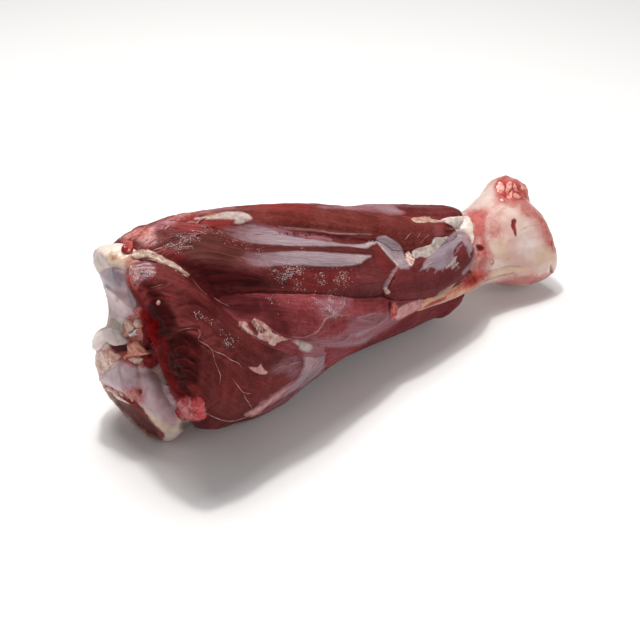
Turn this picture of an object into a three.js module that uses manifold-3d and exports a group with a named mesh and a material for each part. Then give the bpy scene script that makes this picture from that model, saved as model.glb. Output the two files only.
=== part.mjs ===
// Raw beef shank, whole and bone-in: the foreleg bone with its elbow joint at one end and its
// knuckle at the other, and the muscles that lie along it.
// Millimetres, +Z up. The limb lies along X, elbow at -X, knuckle at +X, resting on z = 0.
import * as THREE from "three";
import { mergeVertices } from "three/addons/utils/BufferGeometryUtils.js";
import Module from "manifold-3d";

const wasm = await Module();
wasm.setup();

// Driving dimensions
const GAP = 0.3; // clearance kept between neighbouring pieces
const RING_STEP = 14; // spacing of the sections along a piece
const FINE_STEP = 8; // the same where a muscle twists quickly
const MUSCLE_SIDES = 16; // points round a muscle section
const BONE_SIDES = 20; // points round a bone section
const FULLNESS = 0.74; // below 1 a section is fuller than an ellipse
const JOINT_FULLNESS = 0.92; // the same for the rounder ends at the elbow
const LEAST_END = 0.12; // size of the last section of a rounded end, as a share

// The line that the muscles lie round, from elbow to knuckle: x, y, z
const LIMB_AXIS = [
  [-200, -2, 80],
  [-133, 0, 78],
  [-20, 16, 66],
  [94, 18, 50],
  [190, 14, 46],
];

// A muscle is a row of sections: x, angle round the limb (degrees, 0 faces -Y and 90 faces up),
// reach of its outer face from the limb axis, half its spread (degrees) and its depth.
// ends holds the lengths over which its two ends are rounded.
const MUSCLES = {
  banded_muscle: {
    colour: 0x6a302f,
    ends: [16, 14],
    sections: [
      [-184, 124, 74, 32, 30],
      [-167, 122, 80, 42, 44],
      [-150, 111, 84, 48, 50],
      [-132, 94, 81, 44, 50],
      [-105, 71, 73, 29, 50],
      [-60, 56, 68, 27, 46],
      [-10, 41, 61, 27, 42],
      [30, 35, 54, 22, 32],
    ],
  },
  belly_muscle: {
    colour: 0x8b5054,
    ends: [30, 30],
    sections: [
      [-158, 46, 66, 14, 24],
      [-110, 26, 73, 20, 44],
      [-60, 8, 70, 25, 48],
      [-20, -3, 64, 22, 44],
      [20, -5, 55, 14, 32],
      [58, -5, 50, 6, 16],
    ],
  },
  front_muscle: {
    colour: 0x6b3231,
    ends: [7, 16],
    step: FINE_STEP,
    sections: [
      [-190, 50, 68, 54, 36],
      [-180, 40, 76, 66, 46],
      [-166, 24, 77, 70, 50],
      [-145, 1, 75, 54, 48],
      [-120, -14, 73, 42, 46],
      [-95, -20, 69, 31, 36],
      [-64, -14, 63, 17, 20],
    ],
  },
  top_muscle: {
    colour: 0x7b3c38,
    ends: [24, 24],
    sections: [
      [-154, 134, 87, 18, 28],
      [-105, 120, 81, 24, 48],
      [-40, 102, 71, 26, 50],
      [0, 91, 64, 27, 46],
      [40, 71, 57, 26, 40],
      [75, 64, 50, 20, 28],
      [104, 64, 44, 14, 16],
    ],
  },
  wrist_muscle: {
    colour: 0x622e30,
    ends: [12, 14],
    sections: [
      [0, 20, 56, 12, 24],
      [25, 22, 58, 19, 34],
      [60, 21, 52, 26, 32],
      [90, 28, 46, 26, 24],
      [112, 36, 41, 16, 14],
    ],
  },
  tendon_strand: {
    colour: 0xae7869,
    ends: [14, 10],
    sections: [
      [4, -7, 54, 7, 9],
      [45, -6, 51, 7, 10],
      [80, -7, 46, 9, 12],
      [104, -11, 40, 10, 13],
      [124, -15, 33, 8, 8],
    ],
  },
  far_muscle: {
    colour: 0x743435,
    ends: [24, 16],
    sections: [
      [-168, 160, 66, 20, 32],
      [-110, 158, 71, 28, 48],
      [-50, 152, 66, 30, 48],
      [0, 140, 60, 30, 44],
      [60, 118, 53, 34, 36],
      [100, 108, 46, 29, 26],
      [128, 103, 40, 17, 14],
    ],
  },
  under_muscle: {
    colour: 0x6d4648,
    ends: [30, 14],
    sections: [
      [-150, -96, 74, 26, 34],
      [-105, -92, 80, 38, 54],
      [-50, -68, 63, 47, 46],
      [20, -59, 53, 49, 42],
      [70, -55, 46, 45, 32],
      [102, -46, 41, 33, 22],
    ],
  },
  back_muscle: {
    colour: 0x6b3231,
    ends: [18, 26],
    sections: [
      [-162, 206, 64, 30, 30],
      [-130, 208, 72, 42, 48],
      [-60, 209, 67, 47, 50],
      [20, 211, 55, 50, 42],
      [70, 213, 46, 52, 32],
      [104, 212, 41, 46, 22],
    ],
  },
};

// Bone lengths are x, y, z of a section's middle, then half its height and half its width.
const LEAN = THREE.MathUtils.degToRad(35); // lean of the knuckle's long side from upright
const SHAFT = [
  [-170, 6, 62, 26, 26],
  [-60, 13, 68, 24, 22],
  [40, 18, 56, 25, 22],
  [112, 18, 50, 27, 24],
];
const RADIUS_HEAD = [
  [-195, 22, 54, 22, 20],
  [-190, 20, 48, 29, 30],
  [-184, 17, 42, 34, 38],
  [-176, 16, 37, 39, 41],
  [-165, 15, 35, 39, 40],
  [-140, 10, 50, 32, 34],
  [-115, 9, 60, 24, 24],
];
const RADIUS_LIP = [
  [-198, 26, 74, 8, 12],
  [-195, 24, 75, 11, 16],
  [-186, 21, 75, 12, 19],
  [-174, 18, 72, 14, 22],
];
const ELBOW = [
  [-194, 17, 84, 34, 20],
  [-180, 14, 92, 50, 25],
  [-160, 12, 92, 44, 24],
  [-130, 10, 84, 30, 20],
];
const OLECRANON = [
  [-192, 24, 140, 10, 14],
  [-187, 22, 132, 20, 20],
  [-177, 18, 119, 34, 24],
  [-155, 12, 104, 40, 22],
  [-120, 10, 84, 26, 18],
];
const KNUCKLE = [
  [98, 18, 50, 28, 25],
  [125, 18, 48, 30, 27],
  [146, 18, 47, 32, 28],
  [160, 18, 46, 38, 29],
  [173, 18, 46, 43, 30],
  [186, 16, 44, 41, 28],
  [196, 12, 40, 36, 25],
  [203, 10, 37, 31, 20],
];
const TUBEROSITY = [
  [145, 24, 55, 14, 12],
  [160, 30, 62, 18, 15],
  [173, 31, 66, 20, 17],
  [186, 35, 71, 20, 16],
  [196, 33, 70, 17, 13],
  [203, 32, 69, 13, 8],
];
const NOTCH_RADIUS = 44; // the elbow's half-round joint surface
const NOTCH_CENTRE = [-228, 98]; // x and z of its axis, which runs along Y

// Values at x, read smoothly from rows that start with their own x.
function reader(rows) {
  const positions = rows.map((row) => row[0]);
  const values = rows.flatMap((row) => row.slice(1));
  const curve = new THREE.CubicInterpolant(positions, values, rows[0].length - 1);
  return (x) => Array.from(curve.evaluate(x));
}

const axisAt = reader(LIMB_AXIS);

// A power of the cosine or sine that keeps its sign, for sections fuller than an ellipse.
const full = (wave, power = FULLNESS) => Math.sign(wave) * Math.abs(wave) ** power;

// The share of its full size that a piece has at x, with both ends rounded like an ellipse.
function rounding(x, first, last, ends) {
  const nearest = [(x - first) / ends[0], (last - x) / ends[1]];
  return nearest.reduce((share, part) => {
    const inwards = THREE.MathUtils.clamp(part, 0, 1);
    return share * Math.max(LEAST_END, Math.sqrt(1 - (1 - inwards) ** 2));
  }, 1);
}

// Positions along X for the sections of a piece, closer together at its rounded ends.
function stations(first, last, ends, step = RING_STEP) {
  const count = Math.ceil((last - first) / step);
  const even = Array.from({ length: count + 1 }, (_, i) => first + ((last - first) * i) / count);
  const noses = [0.12, 0.4].flatMap((share) => [first + share * ends[0], last - share * ends[1]]);
  const sorted = [...even, ...noses].sort((a, b) => a - b);
  return sorted.filter((x, i) => i === 0 || x - sorted[i - 1] > 1.5 || i === sorted.length - 1);
}

// One closed surface through rings of points, with a fan of triangles over each end.
function loft(rings) {
  const sides = rings[0].length;
  const points = rings.flat();
  const middle = (ring) =>
    ring.reduce((sum, p) => sum.add(p), new THREE.Vector3()).divideScalar(sides);
  points.push(middle(rings[0]), middle(rings.at(-1)));
  const index = [];
  rings.slice(1).forEach((_, r) => {
    for (let k = 0; k < sides; k++) {
      const next = (k + 1) % sides;
      const [a, b] = [r * sides + k, r * sides + next];
      const [c, d] = [a + sides, b + sides];
      const shorter = points[b].distanceTo(points[c]) < points[a].distanceTo(points[d]);
      index.push(...(shorter ? [a, c, b, b, c, d] : [a, d, b, a, c, d]));
    }
  });
  const lastRing = (rings.length - 1) * sides;
  for (let k = 0; k < sides; k++) {
    const next = (k + 1) % sides;
    index.push(points.length - 2, k, next);
    index.push(points.length - 1, lastRing + next, lastRing + k);
  }
  return new THREE.BufferGeometry().setFromPoints(points).setIndex(index);
}

// A muscle, bent round the limb. grow adds to every side, for the clearance of a neighbour.
function muscleGeometry({ sections, ends, step }, grow = 0) {
  const read = reader(sections);
  const [first, last] = [sections[0][0], sections.at(-1)[0]];
  const rings = stations(first, last, ends, step).map((x) => {
    const [angle, reach, spread, depth] = read(x);
    const [y, z] = axisAt(x);
    const share = rounding(x, first, last, ends);
    const middle = reach - depth / 2;
    const halfDepth = (share * depth) / 2 + grow;
    const halfSpread = share * THREE.MathUtils.degToRad(spread) + grow / middle;
    return Array.from({ length: MUSCLE_SIDES }, (_, k) => {
      const turn = (2 * Math.PI * k) / MUSCLE_SIDES;
      const round = THREE.MathUtils.degToRad(angle) - halfSpread * full(Math.cos(turn));
      const out = middle + halfDepth * full(Math.sin(turn));
      return new THREE.Vector3(x, y - out * Math.cos(round), z + out * Math.sin(round));
    });
  });
  return loft(rings);
}

// A length of bone through oval sections. lean turns the long side from upright towards +Y.
function boneGeometry(sections, { lean = 0, power = FULLNESS, grow = 0 } = {}) {
  const read = reader(sections);
  const [first, last] = [sections[0][0], sections.at(-1)[0]];
  const rings = stations(first, last, [RING_STEP, RING_STEP]).map((x) => {
    const [y, z, long, short] = read(x);
    return Array.from({ length: BONE_SIDES }, (_, k) => {
      const turn = (2 * Math.PI * k) / BONE_SIDES;
      const up = (long + grow) * full(Math.sin(turn), power);
      const across = (short + grow) * full(Math.cos(turn), power);
      return new THREE.Vector3(
        x,
        y + up * Math.sin(lean) - across * Math.cos(lean),
        z + up * Math.cos(lean) + across * Math.sin(lean),
      );
    });
  });
  return loft(rings);
}

// A closed geometry as a solid that can be joined and cut.
function solidOf(geometry) {
  const bare = geometry.clone();
  bare.deleteAttribute("normal");
  bare.deleteAttribute("uv");
  const merged = mergeVertices(bare, 1e-4);
  return new wasm.Manifold(
    new wasm.Mesh({
      numProp: 3,
      vertProperties: merged.attributes.position.array,
      triVerts: new Uint32Array(merged.index.array),
    }),
  );
}

// A solid as a named mesh in its own colour.
function meshOf(name, solid, colour, roughness) {
  const { vertProperties, triVerts } = solid.getMesh();
  const geometry = new THREE.BufferGeometry()
    .setAttribute("position", new THREE.BufferAttribute(vertProperties, 3))
    .setIndex(new THREE.BufferAttribute(triVerts, 1));
  geometry.computeVertexNormals();
  const material = new THREE.MeshStandardMaterial({ color: colour, roughness, metalness: 0 });
  const mesh = new THREE.Mesh(geometry, material);
  mesh.name = name;
  return mesh;
}

// Everything below the surface that the shank lies on, cut away to leave flat resting spots.
const surface = new THREE.BoxGeometry(600, 400, 100).translate(0, 0, -50);
const belowSurface = solidOf(surface);

// The elbow's half-round joint surface, as the cylinder that once filled it.
function notchSolid() {
  const cylinder = new THREE.CylinderGeometry(NOTCH_RADIUS, NOTCH_RADIUS, 200, 40);
  return solidOf(cylinder.translate(NOTCH_CENTRE[0], 0, NOTCH_CENTRE[1]));
}

// The whole bone: shaft, elbow joint and knuckle.
function boneSolid(grow = 0) {
  const power = JOINT_FULLNESS;
  return solidOf(boneGeometry(SHAFT, { grow }))
    .add(solidOf(boneGeometry(RADIUS_HEAD, { power, grow })))
    .add(solidOf(boneGeometry(OLECRANON, { power, grow })))
    .add(solidOf(boneGeometry(ELBOW, { grow })))
    .subtract(notchSolid())
    .add(solidOf(boneGeometry(RADIUS_LIP, { power, grow })))
    .add(solidOf(boneGeometry(KNUCKLE, { lean: LEAN, power, grow })))
    .add(solidOf(boneGeometry(TUBEROSITY, { lean: LEAN, power, grow })));
}

const shank = new THREE.Group();
shank.name = "beef_shank";
shank.add(meshOf("shank_bone", boneSolid().subtract(belowSurface), 0xd9b8ac, 0.45));

let taken = boneSolid(GAP).add(belowSurface);
for (const [name, muscle] of Object.entries(MUSCLES)) {
  const solid = solidOf(muscleGeometry(muscle)).subtract(taken);
  const pieces = solid.decompose().sort((a, b) => b.volume() - a.volume());
  shank.add(meshOf(name, pieces[0], muscle.colour, 0.4));
  taken = taken.add(solidOf(muscleGeometry(muscle, GAP)));
}

// The origin goes under the middle of the box that holds the shank.
const middle = new THREE.Box3().setFromObject(shank).getCenter(new THREE.Vector3());
for (const mesh of shank.children) mesh.geometry.translate(-middle.x, -middle.y, 0);

export default shank;
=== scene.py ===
"""Looks of a whole raw beef foreshank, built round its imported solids.

Every muscle and the bone gets a fine skin made from its own solid. Marks such as silverskin, fat and
blood are outlines set out either in the camera's picture, in pixels, or round the limb, in
millimetres along it and degrees about it. They drive both the relief of the skin and its colours.
"""

import math
from typing import NamedTuple

import bmesh
import bpy
import numpy as np
from mathutils import Matrix, Vector
from mathutils.bvhtree import BVHTree
from mathutils.geometry import delaunay_2d_cdt


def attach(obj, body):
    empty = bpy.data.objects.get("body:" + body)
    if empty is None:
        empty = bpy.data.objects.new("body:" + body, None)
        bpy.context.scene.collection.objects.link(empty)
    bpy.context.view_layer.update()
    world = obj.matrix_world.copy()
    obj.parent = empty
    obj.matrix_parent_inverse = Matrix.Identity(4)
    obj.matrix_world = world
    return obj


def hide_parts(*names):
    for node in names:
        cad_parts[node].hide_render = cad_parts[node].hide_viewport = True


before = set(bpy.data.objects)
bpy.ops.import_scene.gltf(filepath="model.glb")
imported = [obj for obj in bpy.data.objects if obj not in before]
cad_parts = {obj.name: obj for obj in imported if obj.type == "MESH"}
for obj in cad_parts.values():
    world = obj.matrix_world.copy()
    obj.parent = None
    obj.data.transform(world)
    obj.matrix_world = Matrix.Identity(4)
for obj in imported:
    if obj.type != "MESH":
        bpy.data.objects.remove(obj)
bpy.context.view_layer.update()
MM = 0.001

# Camera

PICTURE = 640
LENS = 85.0
SENSOR = 36.0
FOCAL = LENS / SENSOR * PICTURE
AZIMUTH = math.radians(-36.0)
ELEVATION = math.radians(32.0)
AIM = np.array([-0.01117, 0.02805, 0.02761])
DISTANCE = 1.1714
FARTHEST = 200.0
LEVEL = math.cos(ELEVATION)
BACKWARD = np.array([math.sin(AZIMUTH) * LEVEL, -math.cos(AZIMUTH) * LEVEL, math.sin(ELEVATION)])
RIGHT = np.array([math.cos(AZIMUTH), math.sin(AZIMUTH), 0.0])
UP = np.cross(BACKWARD, RIGHT)
EYE = AIM + BACKWARD * DISTANCE


def make_camera():
    """The camera at the photograph's angle."""
    data = bpy.data.cameras.new("camera")
    data.lens = LENS
    data.sensor_width = SENSOR
    data.clip_end = FARTHEST
    camera = bpy.data.objects.new("camera", data)
    turn = np.stack([RIGHT, UP, BACKWARD], 1)
    camera.matrix_world = Matrix.Translation(Vector(EYE)) @ Matrix(turn.tolist()).to_4x4()
    bpy.context.collection.objects.link(camera)
    bpy.context.scene.camera = camera


def picture_places(points):
    """Where points show in the picture, in pixels."""
    run = points - EYE
    depth = -(run @ BACKWARD)
    across = PICTURE / 2 + FOCAL * (run @ RIGHT) / depth
    down = PICTURE / 2 - FOCAL * (run @ UP) / depth
    return np.stack([across, down], 1)


def picture_ray(place):
    """The line of sight through a place in the picture."""
    across = (place[0] - PICTURE / 2) / FOCAL
    rise = (PICTURE / 2 - place[1]) / FOCAL
    line = across * RIGHT + rise * UP - BACKWARD
    return EYE, line / np.linalg.norm(line)


# Round the limb

LIMB_AXIS = np.array(
    [[-202, -1.6, 80], [-135, 0.4, 78], [-22, 16.4, 66], [92, 18.4, 50], [188, 14.4, 46]], float
)
LOWEST_ANGLE = -120.0
LIMB_REACH = 0.16

# How each muscle's fibres run: place along the limb, middle angle about it and half their spread
MUSCLE_RUN = {
    "banded_muscle": [(-186, 98, 40), (-152, 90, 40), (-107, 71, 29), (-62, 56, 27), (28, 35, 22)],
    "belly_muscle": [(-160, 46, 14), (-112, 26, 20), (-62, 8, 25), (-22, -3, 22), (56, -5, 6)],
    "front_muscle": [(-192, 46, 54), (-168, 24, 64), (-147, 1, 52), (-122, -14, 42), (-66, -14, 17)],
    "top_muscle": [(-156, 134, 16), (-107, 120, 24), (-42, 102, 26), (38, 71, 26), (102, 64, 14)],
    "wrist_muscle": [(-2, 20, 12), (23, 22, 19), (58, 21, 26), (88, 28, 26), (110, 36, 16)],
    "tendon_strand": [(2, -7, 7), (43, -6, 7), (78, -7, 9), (102, -11, 10), (122, -15, 8)],
    "far_muscle": [(-170, 160, 20), (-112, 158, 28), (-52, 152, 30), (58, 118, 34), (126, 103, 17)],
    "under_muscle": [(-152, -96, 26), (-107, -92, 38), (-52, -68, 47), (68, -55, 45), (100, -46, 33)],
    "back_muscle": [(-164, 206, 30), (-132, 208, 42), (-62, 209, 47), (68, 213, 52), (102, 212, 46)],
    "shank_bone": [(-200, 90, 60), (200, 90, 60)],
}
HALF_WIDTH = 30.0


def axis_at(along):
    """The limb's middle line at a place along it, across and up, in mm."""
    side = np.interp(along, LIMB_AXIS[:, 0], LIMB_AXIS[:, 1])
    height = np.interp(along, LIMB_AXIS[:, 0], LIMB_AXIS[:, 2])
    return side, height


def limb_places(points):
    """Place along the limb in mm and angle about it in degrees, 0 towards -Y and 90 up."""
    scaled = points / MM
    side, height = axis_at(scaled[:, 0])
    angle = np.degrees(np.arctan2(scaled[:, 2] - height, side - scaled[:, 1]))
    angle = (angle - LOWEST_ANGLE) % 360.0 + LOWEST_ANGLE
    return np.stack([scaled[:, 0], angle], 1)


def limb_ray(place):
    """A line from outside in to the limb's middle line."""
    side, height = axis_at(place[0])
    turn = math.radians(place[1])
    outward = np.array([0.0, -math.cos(turn), math.sin(turn)])
    middle = np.array([place[0], side, height]) * MM
    return middle + outward * LIMB_REACH, -outward


def fibre_places(node, limb):
    """Along and across the fibres of a muscle, in mm, so that they close in where it tapers."""
    run = np.array(MUSCLE_RUN[node], float)
    middle = np.interp(limb[:, 0], run[:, 0], run[:, 1])
    spread = np.interp(limb[:, 0], run[:, 0], run[:, 2])
    turn = (limb[:, 1] - middle + 180.0) % 360.0 - 180.0
    return np.stack([limb[:, 0], turn / spread * HALF_WIDTH], 1)


# Noise for the relief

SHUFFLED = np.random.default_rng(20).permutation(256)


def lattice(cells, seed):
    """A fixed value from 0 to 1 for each cell."""
    index = SHUFFLED[(cells[:, 0] + 37 * seed) & 255]
    index = SHUFFLED[(index + cells[:, 1]) & 255]
    index = SHUFFLED[(index + cells[:, 2]) & 255]
    return index / 255.0


def noise(points, size, seed):
    """Smooth noise from -1 to 1, with swells of about the given size or sizes."""
    scaled = points / np.asarray(size, float)
    if scaled.shape[1] == 2:
        scaled = np.column_stack([scaled, np.zeros(len(scaled))])
    cells = np.floor(scaled).astype(int)
    part = scaled - cells
    eased = part * part * (3 - 2 * part)
    total = np.zeros(len(points))
    for corner in np.ndindex(2, 2, 2):
        step = np.array(corner)
        weight = np.prod(np.where(step, eased, 1 - eased), 1)
        total += weight * lattice(cells + step, seed)
    return total * 2 - 1


def waves(points, heights):
    """Noises added up; each has its height in mm, its size in mm and its seed."""
    return sum(height * noise(points, size, seed) for height, size, seed in heights)


def lumps(points, size, seed):
    """Rounded lumps from 0 in their clefts to 1 on their tops."""
    scaled = points / size
    cells = np.floor(scaled).astype(int)
    nearest = np.full(len(points), 9.0)
    for corner in np.ndindex(3, 3, 3):
        cell = cells + np.array(corner) - 1
        seat = np.stack([lattice(cell, seed + k) for k in range(3)], 1)
        nearest = np.minimum(nearest, np.linalg.norm(cell + seat - scaled, axis=1))
    return np.clip(1 - nearest, 0, 1)


def ease(low, high, values):
    """A smooth step from 0 at low to 1 at high."""
    part = np.clip((values - low) / (high - low), 0, 1)
    return part * part * (3 - 2 * part)


# Marks: outlines and lines on the skins

MARKS = []
CREASES = []
ROUNDING_STEPS = 4
FAR_OFF = 1e6
NODE_WORDS = {"bone": "shank_bone", "strand": "tendon_strand"}


class Mark(NamedTuple):
    """One mark on the skins: its layer, where it lies and how its edge looks."""

    layer: str
    nodes: list
    line: np.ndarray
    half_width: float
    soft: float
    lift: float
    strength: float
    limb: bool
    fade: np.ndarray

    def depth(self, places):
        """How far places lie inside the mark, and below 0 outside it."""
        if self.half_width:
            return self.half_width - gap_to(places, self.line)
        return depth_inside(places, self.line)

    def girth(self):
        """About how far the middle of the mark is from its edge."""
        if self.half_width:
            return self.half_width
        after = np.roll(self.line, -1, 0)
        area = abs((self.line[:, 0] * after[:, 1] - after[:, 0] * self.line[:, 1]).sum()) / 2
        return 2 * area / np.linalg.norm(after - self.line, axis=1).sum()

    def share(self, places):
        """How much of the mark is left at each place, from its faded end to its whole end."""
        if self.fade is None:
            return 1.0
        start, end = self.fade
        run = end - start
        return np.clip(((places - start) @ run) / (run @ run), 0, 1)


def nodes_named(words):
    """The nodes that a table names by one word each."""
    return [NODE_WORDS.get(word, word + "_muscle") for word in words.split()]


def places_in(text):
    """The places that a text lists: across and down the picture, or along the limb and about it."""
    return np.array([place.split(",") for place in text.split()], float)


def rounded(text, closed):
    """A line through the places in a text with its bends rounded."""
    corners = places_in(text)
    count = len(corners)
    made = []
    for k in range(count if closed else count - 1):
        if closed:
            before, start, end, after = (corners[(k + j) % count] for j in (-1, 0, 1, 2))
        else:
            before, start = corners[max(k - 1, 0)], corners[k]
            end, after = corners[k + 1], corners[min(k + 2, count - 1)]
        for step in range(ROUNDING_STEPS):
            t = step / ROUNDING_STEPS
            bend = (2 * before - 5 * start + 4 * end - after) * t**2
            twist = (3 * start - before - 3 * end + after) * t**3
            made.append(0.5 * (2 * start + (end - before) * t + bend + twist))
    if not closed:
        made.append(corners[-1])
    return np.array(made)


def keep_mark(layer, nodes, line, half_width, soft, lift, strength, limb, fade):
    """Keeps one mark; lift is in mm, soft in pixels, or in mm round the limb.

    A strength below 0 takes the layer away where earlier marks laid it. A fade runs from the place
    where nothing is left of the mark to the place where it is whole."""
    fade = None if fade is None else places_in(fade)
    MARKS.append(Mark(layer, nodes_named(nodes), line, half_width, soft, lift, strength, limb, fade))


def patch(layer, nodes, outline, soft=2.0, lift=0.0, strength=1.0, limb=False, fade=None):
    """A mark that fills an outline."""
    keep_mark(layer, nodes, rounded(outline, True), 0.0, soft, lift, strength, limb, fade)


def strip(layer, nodes, line, half_width, soft=2.0, lift=0.0, strength=1.0, drop=0.0):
    """A mark of even width along a line, or so many pixels below it."""
    keep_mark(layer, nodes, rounded(line, False) + (0.0, drop), half_width, soft, lift, strength, False, None)


def crease(nodes, line, depth, width):
    """A groove along a line, or a ridge where the depth is negative; depth is in mm."""
    CREASES.append((nodes_named(nodes), rounded(line, False), depth, width))


def nearest_on(places, start, end):
    """How far each place is from a straight piece of line."""
    run = end - start
    t = np.clip(((places - start) @ run) / max(float(run @ run), 1e-9), 0, 1)
    return np.linalg.norm(places - start - t[:, None] * run, axis=1)


def depth_inside(places, outline):
    """How far each place lies inside a closed outline, and below 0 outside it."""
    nearest = np.full(len(places), FAR_OFF)
    inside = np.zeros(len(places), bool)
    for start, end in zip(outline, np.roll(outline, -1, 0)):
        nearest = np.minimum(nearest, nearest_on(places, start, end))
        spans = (start[1] > places[:, 1]) != (end[1] > places[:, 1])
        rise = end[1] - start[1]
        if rise:
            crossing = start[0] + (places[:, 1] - start[1]) * (end[0] - start[0]) / rise
            inside ^= spans & (places[:, 0] < crossing)
    return np.where(inside, nearest, -nearest)


def gap_to(places, line):
    """How far each place is from an open line."""
    nearest = np.full(len(places), FAR_OFF)
    for start, end in zip(line[:-1], line[1:]):
        nearest = np.minimum(nearest, nearest_on(places, start, end))
    return nearest


def close_to(places, line, reach):
    """Which places lie in the box of a line, grown by a reach."""
    low, high = line.min(0) - reach, line.max(0) + reach
    return np.flatnonzero(((places > low) & (places < high)).all(1))


# Marks on the banded muscle and the torn head of it

patch("silver", "banded top", "217,228 233,225.5 254,224.5 272,229.5 287,234.5 305,239 324,241.5 343,243.8 "
      "360,244.5 371,242 378,242 371,246 367,249 356,247.5 337,246 317,246 292,246 272,245.5 254,244 "
      "241,241.5 228,236 219,231", 1.3, 0.3, fade="200,229 292,238")
patch("silver", "banded", "240,256 254,252.5 272,252.4 292,251.8 305,251.4 330,253 356,254.3 372,255.6 "
      "365,260 358,264.5 343,266.4 324,266.4 305,265 286,265.2 269,267 251,266.4",
      1.3, 0.3, fade="224,258 304,258")
patch("beige", "banded", "340,245 360,244.5 371,242 378,242 371,246 367,249 352,247",
      1.4, 0, 0.7, fade="336,245 376,244")
patch("beige", "banded", "340,254 356,254.5 372,255.6 364,260 357,264.5 342,265",
      1.4, 0, 0.7, fade="330,259 372,257")
patch("veil", "banded", "226,262 244,252 262,256 284,262 262,269 240,270",
      5.0, 0, 0.62, fade="218,262 262,260")
patch("veil", "banded", "352,268 384,266 386,288 356,292", 8.0, 0, 0.3)
patch("veil", "banded top", "248,221 262,223 276,228 296,235 276,231 256,226", 2.5, 0, 0.6)
patch("brown", "banded", "183,246 196,238 207,231 217,236 228,244 262,249 372,250 366,254 262,252 243,256 "
      "236,264 205,263 188,257", 4.0)
# Painted shade: the dark red layer darkens the grooves below the brown ridge and beside the belly
patch("deep", "banded", "176,260 200,263 225,267 250,271 266,280 258,287 232,287 208,284 190,277", 6.0)
patch("fresh", "banded", "284,274 330,270 374,268 380,284 334,294 294,290", 8.0, 0, 0.52)
patch("deep", "banded belly", "196,283 225,286 255,287 276,291 262,296 238,296 212,300", 4.0, 0, 0.7)
HEAD_KNOB = "112,244 121,237 129,231 140,227 152,227 155,234 143,240 129,242"
patch("fatred", "banded bone back far", HEAD_KNOB, 4.5, 0.5, 0.56)
patch("pink", "banded bone back far", "118,241 126,234 137,229 148,228 140,236 128,240", 2.5, 0, 0.62)
patch("lumpy", "banded bone", HEAD_KNOB, 3.0, 0, 0.6)
patch("torn", "banded top", "133,249 146,240 160,231 178,223 203,222 212,228 203,236 188,246 166,255", 4.0)
patch("fresh", "banded top far back", "150,230 163,219 178,211 192,206 209,204 208,212 193,221 176,228 "
      "160,233", 3.0, 0, 0.6)
patch("lumpy", "banded top far", "152,227 165,218 180,211 192,206 208,205 206,212 190,221 172,228",
      3.0, 0, 0.5)
patch("fresh", "banded", "134,250 146,243 162,247 178,252 186,257 176,262 163,255 150,250", 4.0, 0, 0.45)
patch("pink", "banded top far back", "160,222 178,212 192,208 202,211 188,219 170,227", 4.0, 0, 0.46)
patch("veil", "banded top", "149,231 156,223 168,221 176,224 160,231", 3.0)
patch("pink", "banded top bone back far", "136,240 141,231 150,226 156,226 158,238 154,247 142,246",
      4.0, 0, 0.6)
patch("lumpy", "banded top", "138,240 148,230 158,232 156,244 146,247", 3.0, 0, 0.6)
patch("deep", "banded top", "168,236 178,229 192,230 194,238 182,243 170,242", 4.0, 0, 0.5)
patch("fresh", "banded top", "162,231 176,226 192,222 212,219 232,221 244,224 228,228 206,229 190,232 "
      "176,230", 2.5, 0.6, 0.55)
crease("banded top", "166,233 180,232 192,233 205,230 214,228", 1.2, 1.6)
patch("sinew", "banded front bone belly", "131,256 138,253 147,253 157,256 166,260 176,265 185,271.5 "
      "190,276.5 186,276 178,271 168,266.5 158,262.5 148,259 140,258.5 134,259", 1.3, 1.0)
strip("sinew", "banded front belly", "186,272 193,280 200,289 207,295", 0.6, 1.0, 0.2, 0.5)

# Where crumbs lie, and moist glints with more gloss and pale beads as painted highlights

strip("crumbs", "banded top", "184,243 192,237 199,232 206,229 214,231 225,239 236,243 252,247 266,249",
      2.8, 2.0)
crease("banded top", "186,243 198,233 206,230 214,232 226,240 244,245", -0.9, 2.2)
strip("crumbs", "banded", "262,250 280,250 310,250 350,251", 1.0, 1.5, 0, 0.3)
patch("glints", "banded", "268,268 300,268 350,272 352,282 330,292 296,291 275,279", 5.0, 0, 0.42)
patch("glints", "banded", "276,270 290,268 309,270 308,279 292,281 280,279", 4.0)
patch("glints", "banded", "318,273 332,271 348,274 346,284 328,284", 4.0, 0, 0.75)
patch("glints", "front", "193,314 206,312 222,320 221,331 202,327", 3.0, 0, 0.4)
patch("glints", "front", "216,336 232,333 241,342 236,350 222,348", 3.0, 0, 0.6)
patch("glints", "belly", "310,297 330,296 348,298 345,308 336,316 322,312", 4.0)
patch("glints", "belly", "266,296 284,300 296,310 276,310", 4.0, 0, 0.5)
patch("glints", "banded top", "150,248 165,238 190,232 200,240 180,250", 4.0, 0, 0.5)
patch("glints", "front", "132,264 148,262 154,272 138,282 130,280", 3.0, 0, 0.7)

# Marks on the top roll and the far strip

patch("beige", "top banded", "194,219 204,216.5 216,212.5 228,211.3 243,212.5 247.5,214.5 252.5,219 "
      "246,222 238.5,224.5 233,223 236,220.5 222,219 203,220", 1.2, 0.3, 0.72)
patch("stain", "top banded", "204,216 209,213 216,212.5 215,215.5 208,217", 1.4, 0, 0.9)
patch("veil", "top far back", "196,216 208,204 233,203 234,209 216,210 205,213", 2.0)
patch("fresh", "top far", "214,207 243,205 270,211 306,211 306,203 240,203", 4.0, 0, 0.6)
strip("silver", "top banded", "279,227 291,228.5 303,229.5 313,230 322,231.5 338,233.5 352,234 371,234.5",
      0.65, 0.9, 0.2, 0.85)
# Painted shade in the gap under the pale seam line
strip("deep", "top banded", "308,232 322,233.8 338,235.8 350,236.5", 0.9, 1.0)
strip("veil", "top banded", "262,225 280,230 296,234 312,237 330,239.5", 1.8, 1.6)
patch("veil", "top far", "318,207 345,205 372,203 392,205 404,213 394,215 372,211 345,209", 2.0)
patch("silver", "top far", "374,207 392,207 401,213 388,212", 2.5, 0, 0.7)
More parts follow.
